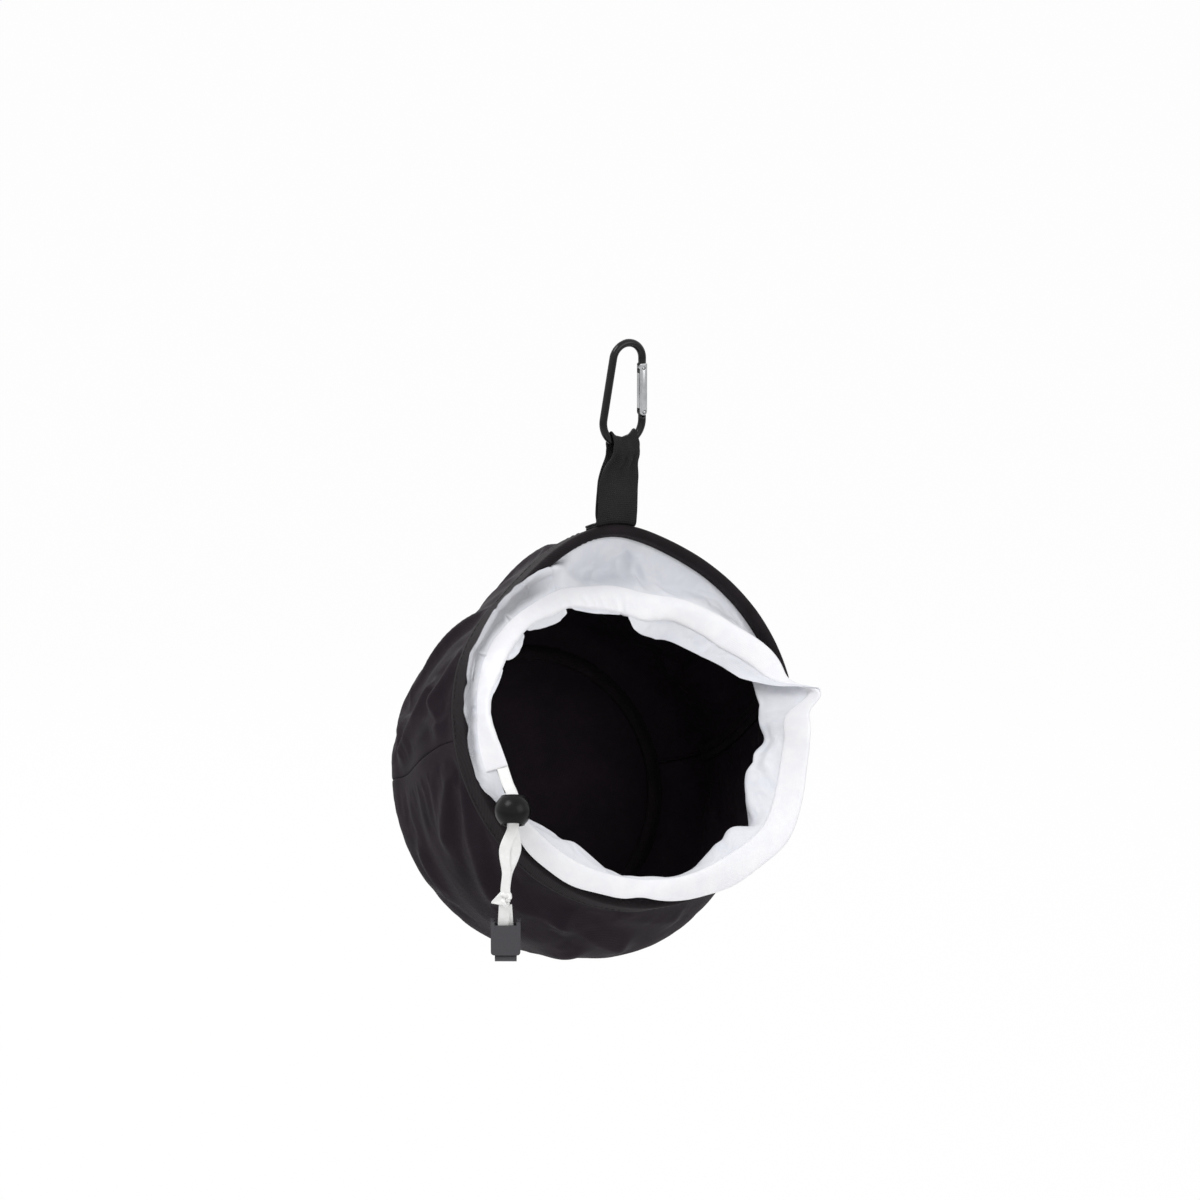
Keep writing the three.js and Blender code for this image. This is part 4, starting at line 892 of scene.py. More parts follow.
# %% Collar curves
COLLAR_THICKNESS = 0.9
HEM_THICKNESS = 4
FOLD_COUNT = 9
FOLD_DEPTH = 1
COLLAR_SHAPE = np.array([
    (17, -25, 27, -15, 40, -10),
    (17, -21, 28, -13, 43, -12),
    (12, -14, 21.5, -6, 33.5, -10),
    (9, -9, 14.5, -1, 28, -6),
    (18, -5, 7, 9.5, 18, 4),
    (22, 0, 14, 13, 6, 24),
    (25, 1, 13, 13, 3, 23),
    (20, 6, 9, 14, -4.5, 20),
    (18, 7, 11, 12.5, -3, 12),
    (12, 5, 10.5, 12, -1, 10),
    (13, 5, 10, 11, 0, 9),
    (18, 6, 7.5, 10.5, -2.5, 6),
    (11, 2, 6, 9, -1, 5),
    (-4, 2.6, 1.5, 3, 8.5, 12),
    (-3.4, 2.8, 3.8, 0.4, 7, 8),
    (-4, 3.2, 4.2, -0.4, 14, 3),
    (-4, 3.8, 7.8, -1.6, 16.5, -2),
    (4.5, 0.5, 16, -8.5, 27, -7),
])
COLLAR_TUCKS = [
    (92, 4.5, (0, 0, -8.5, 11, -10, 13)),
    (107, 5, (-5, 0, -1, 0, 1, 0)),
    (127, 7, (3, 0, 0, 0, 0, 0)),
    (141, 4, (-8, 0, 0, 0, 0, 0)),
    (194, 5, (0, 0, 0, -2, 2, 0)),
]
LIP_REACH = [(13, 0), (19, 5.5), (36, 11.5), (60, 11), (80, 10.5), (90, 3.5), (94, 0)]
SCALLOPS = [(282, 299, 2), (299, 315, 4.5), (315, 340, 6), (340, 373, 3)]
COLLAR_SEAT = -(CROWN_INNER - FIT - COLLAR_THICKNESS / 2)
COLLAR_UNDER = -INNER_LEAF_WIDTH - FIT - COLLAR_THICKNESS / 2
COLLAR_CLEAR = -(CROWN_OUTER + 2 * FIT + COLLAR_THICKNESS / 2)


def through(before, here, there, after, share):
    """A smooth curve from here to there, by the points on either side."""
    slope_here = (there - before) / 2
    slope_there = (after - here) / 2
    square = share * share
    cube = square * share
    value = (2 * cube - 3 * square + 1) * here + (3 * square - 2 * cube) * there
    return value + (cube - 2 * square + share) * slope_here + (cube - square) * slope_there


def collar_shape(angle):
    """How far the belly, the seam and the edge lie inside the rim, and in front of it, at one angle."""
    count = len(COLLAR_SHAPE)
    place = (angle % 360) / (360 / count)
    first = int(place)
    keys = [COLLAR_SHAPE[(first + step) % count] for step in (-1, 0, 1, 2)]
    shape = through(*keys, place - first)
    for middle, half_angle, change in COLLAR_TUCKS:
        turn = (angle - middle + 180) % 360 - 180
        shape = shape + np.array(change) * math.exp(-((turn / half_angle) ** 2))
    return shape


def lip_reach(angle):
    """How far the voile hangs past the hem: one flap at the upper right, scallops at the upper left."""
    reach = np.interp(angle % 360, *np.transpose(LIP_REACH))
    turn = (angle - 180) % 360 + 180
    for first, last, height in SCALLOPS:
        reach += height * math.sin(math.pi * np.clip((turn - first) / (last - first), 0, 1)) ** 0.6
    return reach


def collar_curve(angle):
    """Radius and height along the collar at one angle, distances along it, and those of seam and edge."""
    rim = float(rim_radius(angle))
    inside, front = collar_shape(angle).reshape(3, 2).T
    inside[0] -= FOLD_DEPTH * math.sin(math.radians(angle * FOLD_COUNT))
    root = [rim + COLLAR_CLEAR, COLLAR_UNDER]
    belly, seam, edge = np.stack([rim - inside, front], axis=1)
    lip = edge + unit(edge - seam) * max(lip_reach(angle), 1)
    line, along = curve_through([root, belly, seam, edge, lip])
    return line, along, along[2 * CURVE_STEPS], along[3 * CURVE_STEPS]


def beside_collar(angle, from_edge, offset=0.0):
    """Points at distances back from the hem's edge, off the cloth by an offset, in the drum's frame."""
    line, along, _, edge = collar_curve(angle)
    tangent = unit(np.gradient(line, axis=0))
    where = edge - np.asarray(from_edge, float)
    past = np.clip(where - along[-1], 0, None)
    radius, z = (np.interp(where, along, line[:, k]) for k in (0, 1))
    run, rise = (np.interp(where, along, tangent[:, k]) for k in (0, 1))
    return around(angle, radius + run * past - rise * offset, z + rise * past + run * offset)


def hem_width(angle):
    """Width of the hem at one angle."""
    _, _, seam, edge = collar_curve(angle)
    return edge - seam


print("collar length at the top:", round(collar_curve(0)[3], 1), "mm")

# %% Voile sheet
COLLAR_STEPS = 360
COLLAR_COLUMNS = 34
COLLAR_SLACK = 0.03
COLLAR_CAP = 1.2
COLLAR_FRAMES = 20
COLLAR_SPREAD = (8, 5)
VOILE_THICKNESS = 0.3
PLEAT_HEIGHT = 1.5
PLEAT_WIDTH = 4.5
PLEAT_CREST = 1.6
PLEAT_END = 7
COLLAR_LENGTH = 40
# Fade from the hem, and the angles, of the painted shade on the collar's left side.
PAINTED_SHADE_FADE = 5
PAINTED_SHADE_FROM = (250, 268)
PAINTED_SHADE_TO = (325, 345)
PLEATS = [
    (16, 0.08, 24, 0.8, 1),
    (17, 0.1, 40, 0.7, 0.8),
    (14, 0.1, 0, 0.6, 0.7),
    (350, 0.12, 325, 0.36, 0.9),
    (325, 0.36, 292, 0.42, 0.8),
    (60, 0.2, 72, 0.7, 0.7),
    (100, 0.55, 120, 0.6, 0.6),
    (112, 0.3, 126, 0.8, 0.7),
    (150, 0.3, 162, 0.95, 0.7),
    (204, 0.35, 196, 0.95, 0.9),
    (228, 0.5, 215, 0.9, 0.6),
    (275, 0.2, 285, 0.8, 0.6),
]


def window(angle, rise, fall):
    """1 between two angles, with smooth flanks from and to the outer ones."""
    return smoothstep(angle, *rise) * (1 - smoothstep(angle, *fall))


collar_angles = np.arange(COLLAR_STEPS) * 360 / COLLAR_STEPS
collar_share = np.linspace(0, 1, COLLAR_COLUMNS)
collar_radius = RIM_DIAMETER / 2
collar_rows = []
held_rows = []
painted_shade_rows = []
for angle in collar_angles:
    rim = float(rim_radius(angle))
    root = around(angle, np.array([rim + COLLAR_SEAT, rim + COLLAR_SEAT, rim - CROWN_OUTER]),
                  np.array([LAYER_TOP, COLLAR_UNDER, COLLAR_UNDER]))
    lift = crease_lift(angle, collar_share, PLEATS, collar_radius, COLLAR_LENGTH, PLEAT_WIDTH, PLEAT_CREST)
    width = hem_width(angle)
    reach = lip_reach(angle)
    end = width / 2 - (reach + width / 2) * smoothstep(reach, 0, 1.5)
    from_edge = np.linspace(collar_curve(angle)[3], end, COLLAR_COLUMNS)
    lift *= smoothstep(from_edge, width, width + PLEAT_END)
    collar_rows.append(np.concatenate([root, beside_collar(angle, from_edge, -PLEAT_HEIGHT * lift)]))
    held_rows.append([1, 1, 1, 1, *((from_edge < width) & (from_edge > 0))[1:]])
    # Painted shade: a share that is 1 on the collar's left side, away from the hem, and lowers the voile's
    # alpha there.
    drawn = window(angle, PAINTED_SHADE_FROM, PAINTED_SHADE_TO) * smoothstep(from_edge, width, width + PAINTED_SHADE_FADE)
    painted_shade_rows.append([drawn[0]] * 3 + list(drawn))
collar_points = in_row_frame(np.array(collar_rows))
collar_marks = (marks(collar_points, 0), marks(collar_points, 1))

collar_points = settle(collar_points, np.array(held_rows), COLLAR_SLACK, COLLAR_CAP, COLLAR_FRAMES,
                       COLLAR_SPREAD, bending=0.05, gravity=0.3)
collar = grid_piece("collar_voile", collar_points, voile, collar_marks, round_rows=True,
                    thick_mm=VOILE_THICKNESS)
# The painted shade share is stored on the collar's points for the voile's shader.
drawn_flat = collar.data.attributes.new("drawn_flat", "FLOAT", "POINT")
drawn_flat.data.foreach_set("value", np.ravel(painted_shade_rows))
smooth_surface(collar)
dress(collar, "bag", "white_voile", "collar")
print("collar grid:", collar_points.shape)

# %% [markdown]
# ### Hem and drawstring
# The hem is a flat sleeve of doubled voile round the drawstring, sewn along its seam. Where the ribbon
# draws it up, it is fuller and small gathers run across it.

# %% Gathered hem
EXIT_ANGLE = 256
EXIT_GAP = 16
HEM_STEPS = 520
HEM_POINTS = 28
HEM_FLAT_SHARE = 0.45
HEM_EDGE_WAVE = 0.5
GATHER = 0.3
FULL_FROM = (262, 276)
FULL_TO = (430, 455)
GATHERED_FROM = (272, 284)
GATHERED_TO = (374, 384)
HEM_CLOTH_THICKNESS = 0.5
HEM_SEW_LINE = 1.6
HEM_SEW_HEIGHT = 0.62

exit_radius = float(rim_radius(EXIT_ANGLE)) - collar_shape(EXIT_ANGLE)[4]
exit_half = math.degrees(EXIT_GAP / 2 / exit_radius)
hem_angles = np.linspace(EXIT_ANGLE + exit_half, EXIT_ANGLE + 360 - exit_half, HEM_STEPS)

edge_wave = HEM_EDGE_WAVE * ripple(hem_angles, (7, 11, 19), 3)
full = HEM_FLAT_SHARE + (1 - HEM_FLAT_SHARE) * window(hem_angles, FULL_FROM, FULL_TO)
drawn_up = 0.3 + 0.7 * window(hem_angles, GATHERED_FROM, GATHERED_TO)
gather = GATHER * ripple(hem_angles, (47, 61, 83), 8) * drawn_up
turns = np.arange(HEM_POINTS) * 2 * math.pi / HEM_POINTS
across = np.cos(turns)
edge_share = (1 + across) / 2
back_share = (1 - np.sign(across) * np.abs(across) ** 0.8) / 2
rounded = np.sign(np.sin(turns)) * np.abs(np.sin(turns)) ** 0.7
puff = HEM_THICKNESS / 2 * rounded * (0.35 + 0.65 * edge_share)
hem_rows = []
for angle, wave, fullness, tuck in zip(hem_angles, edge_wave, full, gather):
    back = hem_width(angle) * back_share - wave * edge_share
    hem_rows.append(beside_collar(angle, back, puff * fullness + tuck * edge_share))
hem_points = in_row_frame(np.array(hem_rows))
hem = grid_piece("collar_hem_sleeve", hem_points, hem_cloth, round_columns=True,
                 thick_mm=HEM_CLOTH_THICKNESS)
dress(hem, "bag", "white_voile", "collar_hem")

for label, side in (("front", 1), ("back", -1)):
    sewn = [beside_collar(angle, hem_width(angle) - HEM_SEW_LINE, side * height)
            for height in (HEM_SEW_HEIGHT, HEM_SEW_HEIGHT + 1) for angle in hem_angles]
    line, above = in_row_frame(np.array(sewn)).reshape(2, HEM_STEPS, 3)
    row = stitch_row(f"hem_stitches_{label}", line, above - line, white_thread, FINE_THREAD)
    dress(row, "bag", "white_voile")
print("hem grid:", hem_points.shape)

# %% Drawstring inside the hem
RIBBON_WIDTH = 6
RIBBON_THICKNESS = 0.6
RIBBON_COLUMNS = 7
RIBBON_SHARE = 0.7
DRAWSTRING_THICKNESS = 0.4

ribbon_share = np.linspace(-0.5, 0.5, RIBBON_COLUMNS)
drawstring_rows = []
for angle in hem_angles:
    width = hem_width(angle)
    across_hem = min(RIBBON_WIDTH, RIBBON_SHARE * width) * ribbon_share
    drawstring_rows.append(beside_collar(angle, width / 2 + across_hem))
drawstring_points = in_row_frame(np.array(drawstring_rows))
drawstring = grid_piece("drawstring_ribbon", drawstring_points, ribbon_cloth, thick_mm=DRAWSTRING_THICKNESS)
dress(drawstring, "bag", "white_ribbon", "drawstring")
print("drawstring in the hem:", round(marks(drawstring_points, 0)[-2]), "mm")

# %% [markdown]
# ## Cord stop, tails and cord end
# The drawstring's two tails leave the hem side by side, go down through a ball that grips them, and end in
# a knot. Below it a fold-over cord end hides their cut ends.

# %% Ball
BALL_HOLE_DIAMETER = 10
BALL_TILT = math.radians(27)
BALL_YAW = math.radians(-31)
BALL_SIDES = 72
LIP_RADIUS = 0.9
SKIN_POINTS = 40
LIP_POINTS = 9
THROAT_POINTS = 6
THROAT_INSET = 2

low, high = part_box("cord_stop_ball")
ball_centre = (low + high) / 2
ball_radius = (high.x - low.x) / 2 / MM
hole_radius = BALL_HOLE_DIAMETER / 2
mouth_turn = math.acos((hole_radius + LIP_RADIUS) / ball_radius)
skin = np.linspace(-mouth_turn, mouth_turn, SKIN_POINTS)
profile = [(ball_radius * math.cos(t), ball_radius * math.sin(t)) for t in skin]
mouth_height = profile[-1][1]
lip = np.linspace(mouth_turn, math.pi, LIP_POINTS)
upper_lip = [(hole_radius + LIP_RADIUS + LIP_RADIUS * math.cos(t),
              mouth_height - LIP_RADIUS * math.sin(mouth_turn) + LIP_RADIUS * math.sin(t)) for t in lip[1:]]
throat_top = mouth_height - THROAT_INSET
throat = [(hole_radius, h) for h in np.linspace(throat_top, -throat_top, THROAT_POINTS)]
lower_lip = [(r, -h) for r, h in reversed(upper_lip)]
profile = np.array(profile + upper_lip + throat + lower_lip)
turns = np.arange(BALL_SIDES) * 2 * math.pi / BALL_SIDES
ball_points = np.stack([
    profile[None, :, 0] * np.cos(turns)[:, None],
    profile[None, :, 0] * np.sin(turns)[:, None],
    np.broadcast_to(profile[None, :, 1], (BALL_SIDES, len(profile))),
], axis=-1)
tilt = np.array([[1, 0, 0],
                 [0, math.cos(-BALL_TILT), -math.sin(-BALL_TILT)],
                 [0, math.sin(-BALL_TILT), math.cos(-BALL_TILT)]])
yaw = np.array([[math.cos(BALL_YAW), -math.sin(BALL_YAW), 0],
                [math.sin(BALL_YAW), math.cos(BALL_YAW), 0],
                [0, 0, 1]])
ball_points = np.array(ball_centre) + MM * (ball_points @ tilt.T @ yaw.T)
ball = grid_piece("ball_stop", ball_points, acetal, round_rows=True, round_columns=True)
dress(ball, "ball_stop", "black_plastic", "cord_stop_ball")
print("ball diameter:", round(2 * ball_radius, 1), "mm")

# %% Tail routes
TAIL_LENGTH = 42
TAIL_DRIFT = 4
TAIL_SWELL = 2.7
TAIL_NARROW = 0.4
TAIL_NARROW_WIDTH = 4.6
TAIL_INSET = 1.5
TAIL_EXIT_SHARE = 0.26
TAIL_ENTRY_RISE = 7
TAIL_ENTRY_BACK = 2.5
TAIL_ARCH = 2.5
TAIL_INTO_KNOT = 3
TAIL_STEPS = 70
TAIL_TURN_STEPS = 12
TAIL_FOOT_WIDTH = 5
TAIL_THICKNESS = 0.45
SWELL_SHARE = 0.36
NARROW_SHARE = 0.75

ball_mm = np.array(ball_centre) / MM
ball_foot = ball_mm[2] - ball_radius
tail_bottom = ball_mm[2] - TAIL_LENGTH
swell_z = ball_foot + SWELL_SHARE * (tail_bottom - ball_foot)
narrow_z = ball_foot + NARROW_SHARE * (tail_bottom - ball_foot)
tail_across = yaw @ np.array([1.0, 0, 0])
tail_facing = yaw @ np.array([0, 1.0, 0])
tail_x = (RIBBON_THICKNESS + FIT) / 2
exit_place = in_row_frame(beside_collar(EXIT_ANGLE, hem_width(EXIT_ANGLE) / 2)) / MM


def tail_route(side, hem_angle):
    """Centre line of one tail, from the hem through the ball to the knot, and the hem's way across."""
    place = in_row_frame(beside_collar(hem_angle, TAIL_EXIT_SHARE * hem_width(hem_angle))) / MM
    onward = unit(exit_place - place)
    edges = in_row_frame(beside_collar(hem_angle, [hem_width(hem_angle), 0]))
    hem_across = unit(edges[1] - edges[0])

    def plumb(z, spread=0.0):
        drift = TAIL_DRIFT * np.clip((ball_foot - z) / (ball_foot - tail_bottom), 0, 1)
        place = np.array([*ball_mm[:2], z]) + tail_facing * side * tail_x
        return place + tail_across * (side * spread - drift)

    entry = plumb(ball_mm[2] + TAIL_ENTRY_RISE) + tail_facing * TAIL_ENTRY_BACK
    line = smooth_line([
        place - onward * TAIL_INSET * (1 - side) / 2,
        (place + entry) / 2 + np.array([0, 0, TAIL_ARCH * (1 + side) / 2]),
        entry,
        plumb(ball_mm[2]),
        plumb(ball_foot),
        plumb(swell_z, TAIL_SWELL),
        plumb(narrow_z, TAIL_NARROW),
        plumb(tail_bottom),
        plumb(tail_bottom - TAIL_INTO_KNOT),
    ], TAIL_STEPS)
    return line, hem_across


def ribbon_grid(line, across, width, cup=0.0):
    """Rows of points across a ribbon that follows a line, a little cupped."""
    tangent = unit(np.gradient(line, axis=0))
    facing = unit(np.cross(across, tangent))
    side = np.cross(tangent, facing)
    share = np.linspace(-1, 1, RIBBON_COLUMNS)
    half, bow = (np.broadcast_to(value, len(line))[:, None] for value in (width / 2, cup))
    sideways = side[:, None] * (half * share)[..., None]
    return line[:, None] + sideways + facing[:, None] * (bow * (share ** 2 - 0.5))[..., None]


tail_lines = {}
for label, side, hem_angle in (("left", -1, EXIT_ANGLE + exit_half), ("right", 1, EXIT_ANGLE - exit_half)):
    line, hem_across = tail_route(side, hem_angle)
    along = np.linspace(0, 1, TAIL_STEPS)
    turned = np.clip(along * len(along) / TAIL_TURN_STEPS, 0, 1)[:, None]
    across = hem_across * (1 - turned) + tail_across * turned
    cup = 0.3 * np.sin(np.pi * along) + 0.15 * np.sin(9 * along + side)
    widths = [TAIL_FOOT_WIDTH, TAIL_NARROW_WIDTH, RIBBON_WIDTH]
    width = np.interp(line[:, 2], [tail_bottom, narrow_z, swell_z], widths)
    rows = ribbon_grid(line, across, width, cup) * MM
    tail = grid_piece(f"drawstring_tail_{label}_ribbon", rows, ribbon_cloth, thick_mm=TAIL_THICKNESS)
    dress(tail, "bag", "white_ribbon", f"drawstring_tail_{label}")
    tail_lines[label] = line * MM
    print(label, "tail:", round(float(distances(line)[-1]), 1), "mm")

# %% Knot
KNOT_RIBBON = 3.4
KNOT_RIBBON_THICKNESS = 2.2
KNOT_SLIM = 0.75
KNOT_STEPS = 160
KNOT_SIDES = 12
KNOT_RISE = 4

low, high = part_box("drawstring_knot")
knot_centre = np.array((low + high) / 2) / MM + np.array([0, 0, KNOT_RISE])
knot_size = np.array(high - low) / MM


def tube(line, width, thickness):
    """Closed tube with an oval section along a line, in millimetres."""
    tangent = unit(np.gradient(line, axis=0))
    normal = unit(np.cross(tangent, np.array([0.3, 0.2, 0.93])))
    other = np.cross(tangent, normal)
    turns = np.arange(KNOT_SIDES) * 2 * math.pi / KNOT_SIDES
    taper = np.sqrt(np.clip(1 - np.linspace(-1, 1, len(line)) ** 16, 0.02, 1))[:, None, None]
    rows = line[:, None] + taper * normal[:, None] * (np.cos(turns) * width / 2)[None, :, None]
    return rows + taper * other[:, None] * (np.sin(turns) * thickness / 2)[None, :, None]


turn = np.linspace(0.25, 2 * math.pi + 0.25, KNOT_STEPS)
loops = np.stack([
    np.sin(turn) + 2 * np.sin(2 * turn),
    -np.sin(3 * turn),
    np.cos(turn) - 2 * np.cos(2 * turn),
], axis=1)
loop_size = np.array([knot_size[0] * KNOT_SLIM, knot_size[0], knot_size[2]])
loops *= (loop_size - KNOT_RIBBON * 0.8) / np.array([6, 3, 6])
rows = tube(knot_centre + loops @ yaw.T, KNOT_RIBBON, KNOT_RIBBON_THICKNESS) * MM
knot = grid_piece("drawstring_knot_ribbon", rows, ribbon_cloth, round_columns=True)
dress(knot, "bag", "white_ribbon", "drawstring_knot")
print("knot size:", [round(float(value), 1) for value in knot_size])

# %% Cut end and the two ends below the knot
CUT_END_LENGTH = 6.5
CUT_END_WIDTH = 8
CUT_END_TIP = 0.8
CUT_END_STEPS = 14
CUT_END_THICKNESS = 0.5
END_STEPS = 16
END_SPREAD = np.linspace(0.5, 1.7, END_STEPS)[:, None]
END_WIDTH = 0.95 * RIBBON_WIDTH
END_INTO_KNOT = 1.5

start = knot_centre + yaw @ np.array([-1.2, -1.6, 0.3])
reach = yaw @ np.array([-0.93, -0.1, -0.3])
line = start + np.linspace(0, 1, CUT_END_STEPS)[:, None] * reach * CUT_END_LENGTH
upright = np.tile(yaw @ np.array([-0.3, 0.1, 0.95]), (CUT_END_STEPS, 1))
rows = ribbon_grid(line, upright, np.linspace(CUT_END_WIDTH, CUT_END_TIP, CUT_END_STEPS), 0.7) * MM
cut_end = grid_piece("drawstring_cut_end", rows, ribbon_cloth, thick_mm=CUT_END_THICKNESS)
dress(cut_end, "bag", "white_ribbon")

for label, side in (("left", -1), ("right", 1)):
    low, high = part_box(f"drawstring_end_{label}")
    middle = np.array((low + high) / 2) / MM
    line = np.tile(middle, (END_STEPS, 1)) + tail_across * side * END_SPREAD
    line[:, 2] = np.linspace(high.z / MM + KNOT_RISE + END_INTO_KNOT, low.z / MM, END_STEPS)
    rows = ribbon_grid(line, np.tile(tail_across, (END_STEPS, 1)), END_WIDTH, 0.3 * side) * MM
    piece = grid_piece(f"drawstring_end_{label}_ribbon", rows, ribbon_cloth, thick_mm=TAIL_THICKNESS)
    dress(piece, "bag", "white_ribbon", f"drawstring_end_{label}")

# %% [markdown]
# ### Finishing solids that already have the right shape
# The cord end, the gate and the pins are hard pieces whose solids are exact. They keep their meshes and get
# a small rounding on their edges, which a moulded or turned piece always has, and a real finish.


# %% Rounded edges on hard pieces
def round_edges(piece, edge_mm, segments):
    """Softens the sharp edges of a piece."""
    rounding = piece.modifiers.new("edges", "BEVEL")
    rounding.width = edge_mm * MM
    rounding.segments = segments
    rounding.limit_method = "ANGLE"


def finish_solid(node, material, edge_mm):
    """Welds a solid's facets, rounds its edges and gives it a finish."""
    piece = frame["nodes"][node]
    piece.data.materials.clear()
    piece.data.materials.append(material)
    weld = piece.modifiers.new("weld", "WELD")
    weld.merge_threshold = 1e-6
    round_edges(piece, edge_mm, 3)
    piece.data.shade_smooth()
    return piece


leaves = [finish_solid(f"cord_end_{place}_leaf", polypropylene, 0.35) for place in ("back", "front")]
for node in ("gate", "gate_hinge_pin", "gate_latch_pin", "gate_plunger"):
    finish_solid(node, nickel, 0.15)
finish_solid("gate_spring", spring_wire, 0.05)
finish_solid("rim_hoop", acetal, 0.1)

for label in ("left", "right"):
    line = tail_lines[label]
print("hard pieces finished")

# %% [markdown]
# ## The hook
# The rod is bent from one length of steel: a wide lower bow for the loop, a leaning spine and a narrow
# upper bow for the rail. A sweep along its centre line is smoother than the solid's facets.

# %% Hook rod
ROD_DIAMETER = 4.2
HOOK_LENGTH = 58
LOWER_BOW_WIDTH = 28
UPPER_BOW_WIDTH = 22
HINGE_STUB = 1
NOSE_STUB = 2.5
TONGUE_WIDTH = 3.8
TONGUE_THICKNESS = 2.2
NOSE_LENGTH = 4.6
GATE_DIAMETER = 5.4
ROD_END_ROUND = 0.35
ROD_END_SHARE = 0.86
ROD_SIDES = 28
BOW_STEPS = 48

rod = ROD_DIAMETER / 2
lower_radius = LOWER_BOW_WIDTH / 2 - rod
upper_radius = UPPER_BOW_WIDTH / 2 - rod
bow_bottom = rod - (HOOK_LENGTH - ROD_DIAMETER)
lower_centre = np.array([0, bow_bottom + lower_radius])
gate_x = lower_radius
upper_centre = np.array([gate_x - upper_radius, rod - upper_radius])
hinge_z = lower_centre[1] + HINGE_STUB + FIT + GATE_DIAMETER / 2
span = upper_centre - lower_centre
lean = math.atan2(span[1], span[0]) + math.acos((lower_radius - upper_radius) / np.linalg.norm(span))
lower_turn = np.linspace(0, lean - 2 * math.pi, BOW_STEPS)
upper_turn = np.linspace(lean, 0, BOW_STEPS)
centre_line = np.concatenate([
    [[gate_x, lower_centre[1] + HINGE_STUB]],
    lower_centre + lower_radius * np.stack([np.cos(lower_turn), np.sin(lower_turn)], axis=1),
    upper_centre + upper_radius * np.stack([np.cos(upper_turn), np.sin(upper_turn)], axis=1),
    [[gate_x, upper_centre[1] - NOSE_STUB]],
])
along = unit(np.gradient(centre_line, axis=0))
turns = np.arange(ROD_SIDES) * 2 * math.pi / ROD_SIDES
rod_rows = np.zeros((len(centre_line), ROD_SIDES, 3))
rod_rows[:, :, 0] = centre_line[:, None, 0] - along[:, None, 1] * rod * np.cos(turns)
rod_rows[:, :, 1] = rod * np.sin(turns)
rod_rows[:, :, 2] = centre_line[:, None, 1] + along[:, None, 0] * rod * np.cos(turns)
caps = []
for end, rise in ((0, ROD_END_ROUND), (-1, -ROD_END_ROUND)):
    middle = np.array([centre_line[end][0], 0, centre_line[end][1]])
    caps.append(middle + (rod_rows[end] - middle) * ROD_END_SHARE + np.array([0, 0, rise]))
rod_rows = np.concatenate([[caps[0]], rod_rows, [caps[1]]]) * MM
hook = grid_piece("hook_rod", rod_rows, coated_rod, round_columns=True)
dress(hook, "hook", "black_coated_steel", "hook_body")
print("hook height:", HOOK_LENGTH, "mm")


# %% Tongue and nose of the rod
PLATE_EDGE = 0.3
TONGUE_FOOT = 0.5
NOSE_ROOT = 1
NOTCH_TOP = 1.4
NOTCH_BOTTOM = 3.4
NOTCH_FLOOR = 0.2


def rounded_plate(name, outline, thickness, material):
    """A flat plate of an outline in X and Z, in millimetres, centred on Y = 0, with softened edges."""
    count = len(outline)
    front = [(x * MM, -thickness / 2 * MM, z * MM) for x, z in outline]
    back = [(x * MM, thickness / 2 * MM, z * MM) for x, z in outline]
    faces = [tuple(range(count)), tuple(range(2 * count - 1, count - 1, -1))]
    faces += [(i, i + count, (i + 1) % count + count, (i + 1) % count) for i in range(count)]
    piece = mesh_piece(name, front + back, faces, material)
    round_edges(piece, PLATE_EDGE, 2)
    return piece


half = TONGUE_WIDTH / 2
foot = lower_centre[1] - TONGUE_FOOT
dome = [(gate_x + half * math.cos(t), hinge_z + half * math.sin(t)) for t in np.linspace(0, math.pi, 14)]
tongue = rounded_plate("hook_hinge_tongue", [(gate_x - half, foot), (gate_x + half, foot), *dome],
                       TONGUE_THICKNESS, coated_rod)
dress(tongue, "hook", "black_coated_steel")
gate_top = upper_centre[1] - NOSE_STUB - FIT
nose = rounded_plate("hook_nose", [
    (gate_x - half, gate_top - NOSE_LENGTH),
    (gate_x + half, gate_top - NOSE_LENGTH),
    (gate_x + half, gate_top + FIT + NOSE_ROOT),
    (gate_x - half, gate_top + FIT + NOSE_ROOT),
    (gate_x - half, gate_top - NOTCH_TOP),
    (gate_x - NOTCH_FLOOR, gate_top - NOTCH_TOP),
    (gate_x - NOTCH_FLOOR, gate_top - NOTCH_BOTTOM),
    (gate_x - half, gate_top - NOTCH_BOTTOM),
], TONGUE_THICKNESS, coated_rod)
dress(nose, "hook", "black_coated_steel")
print("gate top:", round(gate_top, 2), "mm")

# %% [markdown]
# ## The loop
# One strip of webbing goes up from the rim, over the hook's lower bow and back down, and both ends are sewn
# flat on the rim. Over the rod it is squeezed to two thirds of its width, which throws folds down its
# middle.

# %% Webbing strip
WEBBING_WIDTH = 24
WEBBING_BUNCHED_WIDTH = 15.5
WEBBING_THICKNESS = 1.5
LOOP_LENGTH = 46
LOOP_LEAN = 4
LOOP_TAIL = 14
LOOP_ARCH_RADIUS = 3.4
LOOP_LEG_GAP = 0.9
LOOP_CLEARANCE = 0.6
BUNCH_START = 3
BUNCH_END = 18
LEG_BEND = 12
LOOP_STEPS = 150
LOOP_COLUMNS = 25
LOOP_FOLD = 0.6
LOOP_FOLD_WAVES = 3.3
LOOP_FOLD_PHASE = 0.4
CLOTH_SHARE = 0.8

arch_top = bow_bottom + rod + LOOP_CLEARANCE + WEBBING_THICKNESS
rim_top = arch_top - LOOP_LENGTH
layer_pitch = WEBBING_THICKNESS + LOOP_LEG_GAP
shoulder = bow_bottom - rod
arch_middle = LOOP_ARCH_RADIUS + WEBBING_THICKNESS / 2


def on_rim(layer, z):
    """A point of the strip's middle where it lies on the rim, in row-frame millimetres."""
    height = CROWN_OUTER + WEBBING_THICKNESS / 2 + layer * WEBBING_THICKNESS
    return in_row_frame(around(LOOP_ANGLE, float(rim_radius(LOOP_ANGLE)) + height, z)) / MM


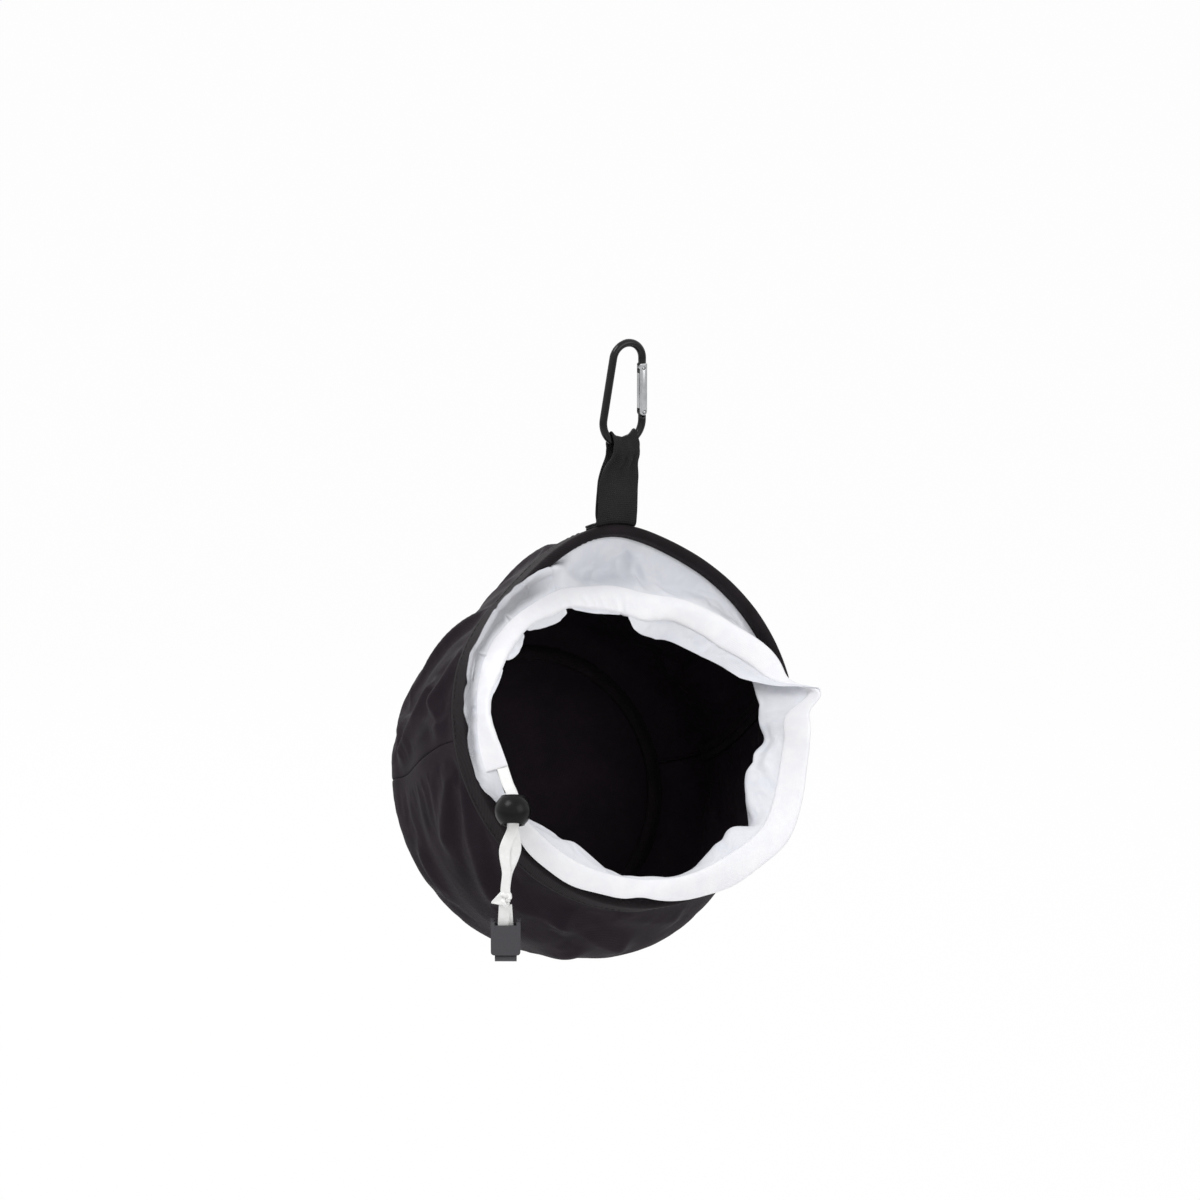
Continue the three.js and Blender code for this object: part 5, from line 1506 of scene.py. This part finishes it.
def leg(side):
    """Points up one leg, from the rim to the shoulder of the arch."""
    return [
        np.array([-LOOP_LEAN, side * layer_pitch / 2, rim_top + 2 * layer_pitch]),
        np.array([-LOOP_LEAN / 2, side * layer_pitch / 2, shoulder - LEG_BEND]),
        np.array([0, side * (layer_pitch / 2 + WEBBING_THICKNESS), shoulder - BUNCH_START - arch_middle]),
        np.array([0, side * arch_middle, shoulder]),
    ]


loop_line = smooth_line([
    on_rim(0, -LOOP_TAIL), on_rim(0, -LOOP_TAIL / 2), on_rim(0, -WEBBING_THICKNESS),
    *leg(-1), np.array([0, 0, arch_top - WEBBING_THICKNESS / 2]), *reversed(leg(1)),
    on_rim(1, -WEBBING_THICKNESS), on_rim(1, -LOOP_TAIL / 2), on_rim(1, -LOOP_TAIL),
], LOOP_STEPS)
print("webbing length:", round(float(distances(loop_line)[-1])), "mm")

# %% Webbing surface
turn = math.radians(LOOP_ANGLE)
rim_across = np.array([math.cos(turn), -math.sin(turn), 0]) @ drum_axes
rim_up = np.array([math.sin(turn), math.cos(turn), 0]) @ drum_axes
lifted = smoothstep(loop_line[:, 2], rim_top, rim_top + WEBBING_WIDTH)[:, None]
across = unit(rim_across * (1 - lifted) + np.array([1.0, 0, 0]) * lifted)
tangent = unit(np.gradient(loop_line, axis=0))
facing = unit(np.cross(tangent, across))
bunch = smoothstep(loop_line[:, 2], shoulder - BUNCH_END, shoulder - BUNCH_START)
width = WEBBING_WIDTH + (WEBBING_BUNCHED_WIDTH - WEBBING_WIDTH) * bunch
share = np.linspace(-1, 1, LOOP_COLUMNS)
reach = np.minimum(np.abs(share * width[:, None] / 2), WEBBING_BUNCHED_WIDTH / 2)
saddle = lower_radius - rod - LOOP_CLEARANCE
rise = bunch[:, None] * (saddle - np.sqrt(saddle ** 2 - reach ** 2))
folds = LOOP_FOLD * smoothstep(loop_line[:, 2], shoulder - 2 * LEG_BEND, shoulder - BUNCH_START)[:, None]
waves = np.cos(share * LOOP_FOLD_WAVES * math.pi + LOOP_FOLD_PHASE)
folds = folds * np.where(bunch > 0.97, 0.2, 1)[:, None] * waves
loop_rows = loop_line[:, None] + across[:, None] * (share * width[:, None] / 2)[..., None]
loop_rows = loop_rows + facing[:, None] * (WEBBING_THICKNESS / 2 + folds)[..., None]
loop_rows[..., 2] += rise
aside = share * WEBBING_WIDTH / RIM_DIAMETER
sag = rim_radius(LOOP_ANGLE) - rim_radius(LOOP_ANGLE + np.degrees(aside)) * np.cos(aside)
loop_rows -= ((1 - lifted) * sag)[..., None] * rim_up
loop_rows *= MM
loop = grid_piece("hanging_loop_webbing", loop_rows, webbing, thick_mm=WEBBING_THICKNESS * CLOTH_SHARE)
smooth_surface(loop)
dress(loop, "bag", "black_webbing", "hanging_loop")
print("webbing columns:", LOOP_COLUMNS)
